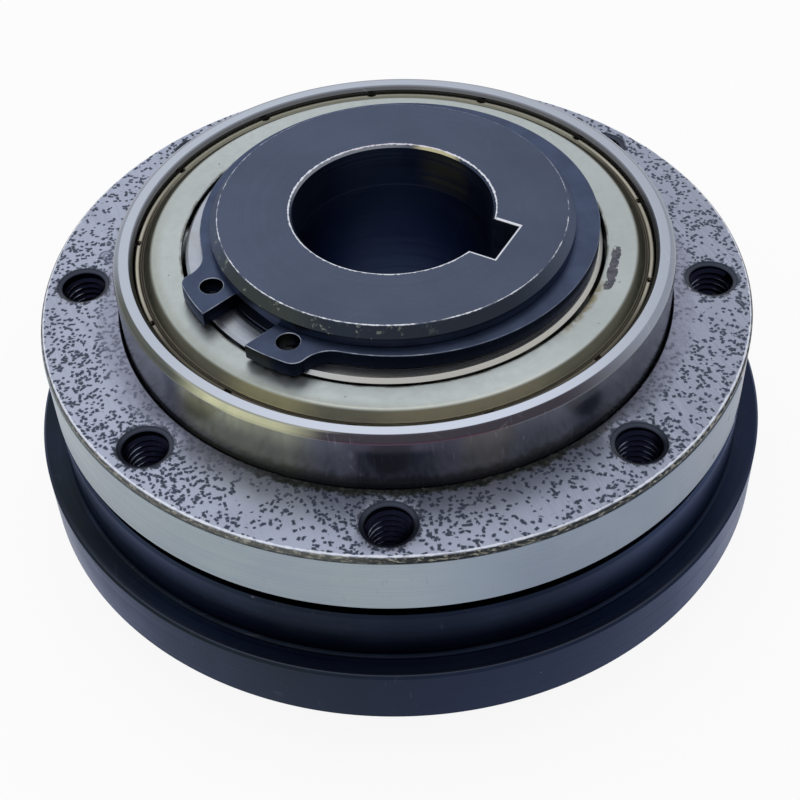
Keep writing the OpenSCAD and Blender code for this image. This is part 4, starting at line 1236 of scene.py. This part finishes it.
class CLUTCH_OT_retaining_ring(bpy.types.Operator):
    """Makes the retaining ring with the broken edges of a stamping"""
    bl_idname = "clutch.retaining_ring"
    bl_label = "Retaining ring"

    def execute(self, context):
        _, colours, _ = settings(context)
        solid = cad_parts["retaining_ring"].data
        heights = [corner.co.z / MM for corner in solid.vertices]
        low, high = min(heights), max(heights)
        mesh = stamped_mesh("ring_stamping", outline_loops(solid, high), low, high, edge=0.07, steps=3)
        piece = new_object("ring_stamping", mesh)
        mesh.materials.append(clip_finish(tuple(colours.clip)))
        seat(piece, "retaining_ring", "hub_side")
        return {"FINISHED"}


class CLUTCH_OT_bearing(bpy.types.Operator):
    """Makes the bearing's rings and shield, and dresses its balls and cage"""
    bl_idname = "clutch.bearing"
    bl_label = "Ball bearing"

    def arc(self, centre, radius, degrees):
        """Corners without rounding on an arc of the profile, one at each angle."""
        angles = [math.radians(angle) for angle in degrees]
        return [(centre[0] + radius * math.cos(a), centre[1] + radius * math.sin(a), 0) for a in angles]

    def race(self, start, end, steps=12):
        """The raceway round the middle of the balls, seen in the profile."""
        return self.arc((25.5, 31), 3.195, [start + (end - start) * k / steps for k in range(steps + 1)])

    def execute(self, context):
        sizes, colours, e = settings(context)
        bright, pressed = tuple(colours.bright), tuple(colours.shield)
        outer = turned_piece("outer_ring", [
            (28.4, 25, e), (30.99, 25, 0.8), (30.99, 37, 0.8), (29.21, 37, e), (28.81, 36.5, 0.05),
            (28.81, 35.34, 0.05), (28, 35.34, 0.05), *self.race(38.5, -38.5), (28, 25.4, e)],
            sizes, outer_ring_finish(bright))
        seat(outer, "bearing_outer_ring", "output_side")
        inner = turned_piece("inner_ring", [
            (20.0, 25, 0.6), (22.6, 25, e), (23, 25.4, e), *self.race(218.5, 141.5), (23, 36.6, e),
            (22.6, 37, e), (20.0, 37, 0.6)], sizes, inner_ring_finish(darker(bright, 0.70)))
        seat(inner, "bearing_inner_ring", "hub_side")
        sheet = shield_finish(pressed, sizes.notch_count)
        bead = self.arc((28.4, 35.75), 0.4, range(-140, 160, 20))
        shield = turned_piece("shield", [
            (23.4, 36.3, 0.1), (26.75, 36.3, 0.4), (27.6, 35.5, 0.2), (28.0, 35.5, 0), *bead,
            (28.0, 35.9, 0.1), (27.7, 35.9, 0.25), (26.85, 36.7, 0.45), (23.4, 36.7, 0.12)], sizes, sheet)
        cutter = prism_mesh("notch_cutter", box_sections(
            28.3, 30.3, 0.42, [35.82, 36.0, 36.15, 37.8], [0, 0, 0.12, 0.2]))
        cut_pattern(shield, cutter, sizes.notch_count, FIRST_NOTCH, sheet)
        seat(shield, "bearing_shield", "output_side")
        dress("bearing_ball_", plain_finish("Polished balls", bright, 0.08, 1.0))
        dress("bearing_cage", plain_finish("Cage sheet", pressed, 0.35, 3.0))
        return {"FINISHED"}


class CLUTCH_OT_flange(bpy.types.Operator):
    """Makes the output flange with its ball pockets and threaded holes"""
    bl_idname = "clutch.flange"
    bl_label = "Output flange"

    def execute(self, context):
        sizes, colours, e = settings(context)
        material = flange_finish(tuple(colours.flange), tuple(colours.fleck), sizes.hole_count)
        piece = turned_piece("flange", [
            (23, 21.4, e), (32.18, 21.4, e), (32.48, 21.7, e), (32.48, 22.2, 0.1), (39.85, 22.2, 0.05),
            (40, 22.35, 0.05), (40, 29.8, 0.1), (39.7, FLANGE_FACE, 0.1), (31.31, FLANGE_FACE, 0.1),
            (31.01, 29.8, 0.1), (31.01, 25, 0.05), (28.5, 25, e), (28.5, 24.5, 0.1), (23, 24.5, e)],
            sizes, material)
        pocket = round_cutter("pocket_cutter", BALL_CIRCLE, [(POCKET_MOUTH, 20.9), (POCKET_FLOOR, 23.2)])
        cut_pattern(piece, pocket, sizes.ball_count, FIRST_BALL, material)
        # A chamfer below, the thread's outer size, and a countersink of 120 degrees above
        hole = round_cutter("hole_cutter", HOLE_CIRCLE, [
            (3.10, 22.113), (2.46, 22.483), (2.46, 29.80), (2.93, 30.07), (3.02, 30.11), (3.3, 30.3)], 64)
        cut_pattern(piece, hole, sizes.hole_count, FIRST_HOLE, material)
        seat(piece, "output_flange", "output_side")
        thread_piece("hole_threads", "output_side", {
            "Turns": 7.9, "Pitch": sizes.hole_pitch, "Root Radius": 2.48 * MM, "Depth": -0.38 * MM,
            "Crest Width": 0.10 * MM, "Root Width": 0.72 * MM, "Steps Per Turn": 32, "Fade": 0.05,
            "Count": sizes.hole_count, "Circle Radius": HOLE_CIRCLE * MM,
            "First Angle": math.radians(FIRST_HOLE), "Base Height": 22.9 * MM,
            "Material": tapped_finish(sizes.hole_count)})
        return {"FINISHED"}


class CLUTCH_OT_tag(bpy.types.Operator):
    """Makes the bare foil tag round the flange's rim"""
    bl_idname = "clutch.tag"
    bl_label = "Type tag"

    def execute(self, context):
        _, colours, _ = settings(context)
        points = rounded_outline([
            (40.0, TAG_LOW, 0), (TAG_OUTSIDE, TAG_LOW, 0.04), (TAG_OUTSIDE, TAG_TOP, 0.04),
            (40.0, TAG_TOP, 0)], 2)
        mesh = turned_mesh("tag", points, 160, math.radians(-204.5), math.radians(180))
        piece = new_object("tag", mesh)
        mesh.materials.append(foil_finish(tuple(colours.foil)))
        seat(piece, "type_tag", "output_side")
        return {"FINISHED"}


class CLUTCH_OT_thrust_cup(bpy.types.Operator):
    """Makes the thrust cup with its ball pockets, and dresses the drive balls"""
    bl_idname = "clutch.thrust_cup"
    bl_label = "Thrust cup"

    def execute(self, context):
        sizes, colours, e = settings(context)
        material = cup_finish(tuple(colours.cup))
        piece = turned_piece("cup", [
            (19.35, 12.6, e), (34, 12.6, 0.6), (34, 7.1, e), (34.5, 6.6, e), (42.25, 6.6, e),
            (42.75, 7.1, e), (42.75, 13.9, e), (42.45, 14.2, e), (40, 14.2, 0.4), (40, 20.4, e),
            (39.7, 20.7, e), (36.8, 20.7, e), (36.5, 20.4, e), (36.5, 16.6, 0.3), (19.35, 16.6, e),
            (19.05, 16.3, e), (19.05, 12.9, e)], sizes, material)
        pocket = round_cutter("cup_pocket_cutter", BALL_CIRCLE, [(POCKET_FLOOR, 14.8), (POCKET_MOUTH, 17.1)])
        cut_pattern(piece, pocket, sizes.ball_count, FIRST_BALL, material)
        seat(piece, "thrust_cup", "detent")
        dress("drive_ball_", plain_finish("Hardened balls", darker(tuple(colours.bright), 0.8), 0.1, 1.0))
        return {"FINISHED"}


class CLUTCH_OT_springs(bpy.types.Operator):
    """Makes the two cup springs in one fixed shape; the real ones flatten as the cup gives way or the nut is
    screwed up
    """
    bl_idname = "clutch.springs"
    bl_label = "Cup springs"

    def execute(self, context):
        sizes, colours, _ = settings(context)
        steel = plain_finish("Spring steel", darker(tuple(colours.clip), 0.8), 0.35, 2.0, 0.85)
        inner, outer, thick, rise, gap = 19.3, 30.0, 1.1, 1.66, 0.02
        low, high, middle = 7.0 + gap, 12.6 - gap, (0, 0, 9.8 * MM)
        # Each spring is 2.8 mm high
        lower = turned_piece("spring_lower", [
            (outer, low, 0.15), (outer, low + thick, 0.15), (inner, low + thick + rise, 0.15),
            (inner, low + rise, 0.15)], sizes, steel)
        seat(lower, "cup_spring_lower", "hub_side")
        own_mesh(lower)
        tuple(middle)
        upper = turned_piece("spring_upper", [
            (inner, high - thick - rise, 0.15), (inner, high - rise, 0.15), (outer, high, 0.15),
            (outer, high - thick, 0.15)], sizes, steel)
        seat(upper, "cup_spring_upper", "hub_side")
        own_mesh(upper)
        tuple(middle)
        return {"FINISHED"}


class CLUTCH_OT_nut(bpy.types.Operator):
    """Makes the slotted adjusting nut, and dresses its lock screw and the springs' seat ring"""
    bl_idname = "clutch.nut"
    bl_label = "Adjusting nut"

    def execute(self, context):
        sizes, colours, e = settings(context)
        material = nut_finish(darker(tuple(colours.cup), 1.5))
        piece = turned_piece("nut_body", [
            (18.55, 1, e), (29.5, 1, e), (30, 1.5, e), (30, 5.3, e), (29.7, 5.6, e), (19.1, 5.6, e),
            (19.1, 4.5, 0.1), (18.05, 4.5, e), (18.05, 1.5, e)], sizes, material)
        slot = prism_mesh("slot_cutter", box_sections(
            27, 31, 3, [0.4, 0.9, 1.15, 5.5, 6.1], [0.35, 0.25, 0, 0, 0.3]))
        cut_pattern(piece, slot, sizes.slot_count, 0, material)
        hole = round_cutter("screw_cutter", 0, [(1.51, 0.0), (1.51, 29.4), (1.65, 29.95), (1.8, 31.0)], 32)
        screw_height, screw_direction = 3.3, 30
        hole.transform(Matrix.Translation((0, 0, screw_height * MM)) @ Matrix.Rotation(math.pi / 2, 4, "Y"))
        cut_pattern(piece, hole, 1, screw_direction, material)
        seat(piece, "adjusting_nut", "nut")
        bright, cup = tuple(colours.bright), tuple(colours.cup)
        dress("nut_lock_screw", plain_finish("Lock screw steel", darker(bright, 0.4), 0.3, 3.0))
        dress("spring_seat_ring", plain_finish("Spring support oxide", darker(cup, 1.4), 0.4, 2.0, 0.85))
        return {"FINISHED"}


class CLUTCH_OT_stage(bpy.types.Operator):
    """Makes the floor, the even light, the two lamps and the camera at the photograph's viewpoint"""
    bl_idname = "clutch.stage"
    bl_label = "Stage"

    def seen(self, tree):
        """1 for the camera and in metal and glass, 0 for the light that falls on the pieces."""
        path = put(tree, "ShaderNodeLightPath").outputs
        return maths(tree, "MAXIMUM", path["Is Camera Ray"], maths(
            tree, "MAXIMUM", path["Is Glossy Ray"], path["Is Transmission Ray"]))

    def floor(self, stage):
        half = stage.floor_size / 2
        mesh = bpy.data.meshes.new("floor")
        mesh.from_pydata([(-half, -half, 0), (half, -half, 0), (half, half, 0), (-half, half, 0)], [],
                         [(0, 1, 2, 3)])
        floor = new_object("floor", mesh)
        material = bpy.data.materials.new("Pale floor")
        tree = blank_tree(material)
        matt = put(tree, "ShaderNodeBsdfDiffuse", {"Color": (0.86, 0.86, 0.87, 1)})
        glow = put(tree, "ShaderNodeEmission", {"Color": (*WHITE, 1.0), "Strength": 1.0})
        white_share = maths(tree, "MULTIPLY", self.seen(tree), 0.9)
        mixed = put(tree, "ShaderNodeMixShader", {0: white_share, 1: matt, 2: glow})
        put(tree, "ShaderNodeOutputMaterial", {0: mixed})
        mesh.materials.append(material)

    def world(self, scene, stage):
        world = bpy.data.worlds.new("Studio")
        tree = blank_tree(world)
        strength = ramp(tree, self.seen(tree), 0.0, 1.0, stage.ambient, 1.0, kind="LINEAR")
        shade = put(tree, "ShaderNodeBackground", {"Color": (*WHITE, 1.0), "Strength": strength})
        put(tree, "ShaderNodeOutputWorld", {0: shade})
        scene.world = world

    def lamp(self, name, place, size, power):
        """A square lamp aimed at the middle of the clutch."""
        data = bpy.data.lights.new(name, "AREA")
        data.shape = "SQUARE"
        data.size = size
        data.energy = power
        lamp = new_object(name, data)
        lamp.location = place
        aim = Vector((0, 0, 0.02)) - Vector(place)
        lamp.rotation_euler = aim.to_track_quat("-Z", "Y").to_euler()

    def camera(self, scene):
        """The photograph's viewpoint, found from the ellipses in it; lengths are in millimetres."""
        data = bpy.data.cameras.new("photo_view")
        data.sensor_width = 36
        data.lens = 68.09
        data.clip_start = 0.01
        aim, away = Vector((0, 0, 7)), Vector((0, -130.2116, 136.2913))
        # The view is turned by this much from a level look straight at the aim
        pitch, roll = math.radians(0.835), math.radians(-2.276)
        forward = -away.normalized()
        up = Vector((1, 0, 0)).cross(forward)
        forward = forward * math.cos(pitch) + up * math.sin(pitch)
        right = forward.cross(Vector((0, 0, 1))).normalized()
        up = right.cross(forward)
        side = right * math.cos(roll) + up * math.sin(roll)
        top = up * math.cos(roll) - right * math.sin(roll)
        turn = Matrix((side, top, -forward)).transposed()
        camera = new_object("photo_view", data)
        camera.matrix_world = Matrix.Translation((aim + away) * MM) @ turn.to_4x4()
        scene.camera = camera

    def execute(self, context):
        scene, stage = context.scene, context.scene.clutch_stage
        scene.view_settings.view_transform = "Standard"
        self.floor(stage)
        self.world(scene, stage)
        self.lamp("key_lamp", (-0.25, 0.35, 0.75), 1.1, stage.key_power)
        self.lamp("fill_lamp", (-0.55, -0.5, 0.45), 0.8, stage.fill_power)
        self.camera(scene)
        return {"FINISHED"}


class CLUTCH_PT_panel(bpy.types.Panel):
    bl_idname = "CLUTCH_PT_panel"
    bl_label = "Safety clutch"
    bl_space_type = "VIEW_3D"
    bl_region_type = "UI"
    bl_category = "Clutch"

    def draw(self, context):
        for operator in OPERATORS:
            self.layout.operator(operator.bl_idname)
        for name in GROUPS:
            group = getattr(context.scene, name)
            column = self.layout.column()
            for setting in group.bl_rna.properties.keys():
                if setting not in ("rna_type", "name"):
                    column.prop(group, setting)


OPERATORS = (
    CLUTCH_OT_hub, CLUTCH_OT_retaining_ring, CLUTCH_OT_bearing, CLUTCH_OT_flange, CLUTCH_OT_tag,
    CLUTCH_OT_thrust_cup, CLUTCH_OT_springs, CLUTCH_OT_nut, CLUTCH_OT_stage)
GROUPS = {"clutch_sizes": ClutchSizes, "clutch_colours": ClutchColours, "clutch_stage": ClutchStage}
CLASSES = (*GROUPS.values(), *OPERATORS, CLUTCH_PT_panel)


def register():
    for item in CLASSES:
        bpy.utils.register_class(item)
    for name, group in GROUPS.items():
        setattr(bpy.types.Scene, name, bpy.props.PointerProperty(type=group))


def unregister():
    for name in GROUPS:
        delattr(bpy.types.Scene, name)
    for item in reversed(CLASSES):
        bpy.utils.unregister_class(item)


def main():
    register()
    for name in ("hub", "retaining_ring", "bearing", "flange", "tag",
                 "thrust_cup", "springs", "nut", "stage"):
        getattr(bpy.ops.clutch, name)()


if __name__ == "__main__":
    main()
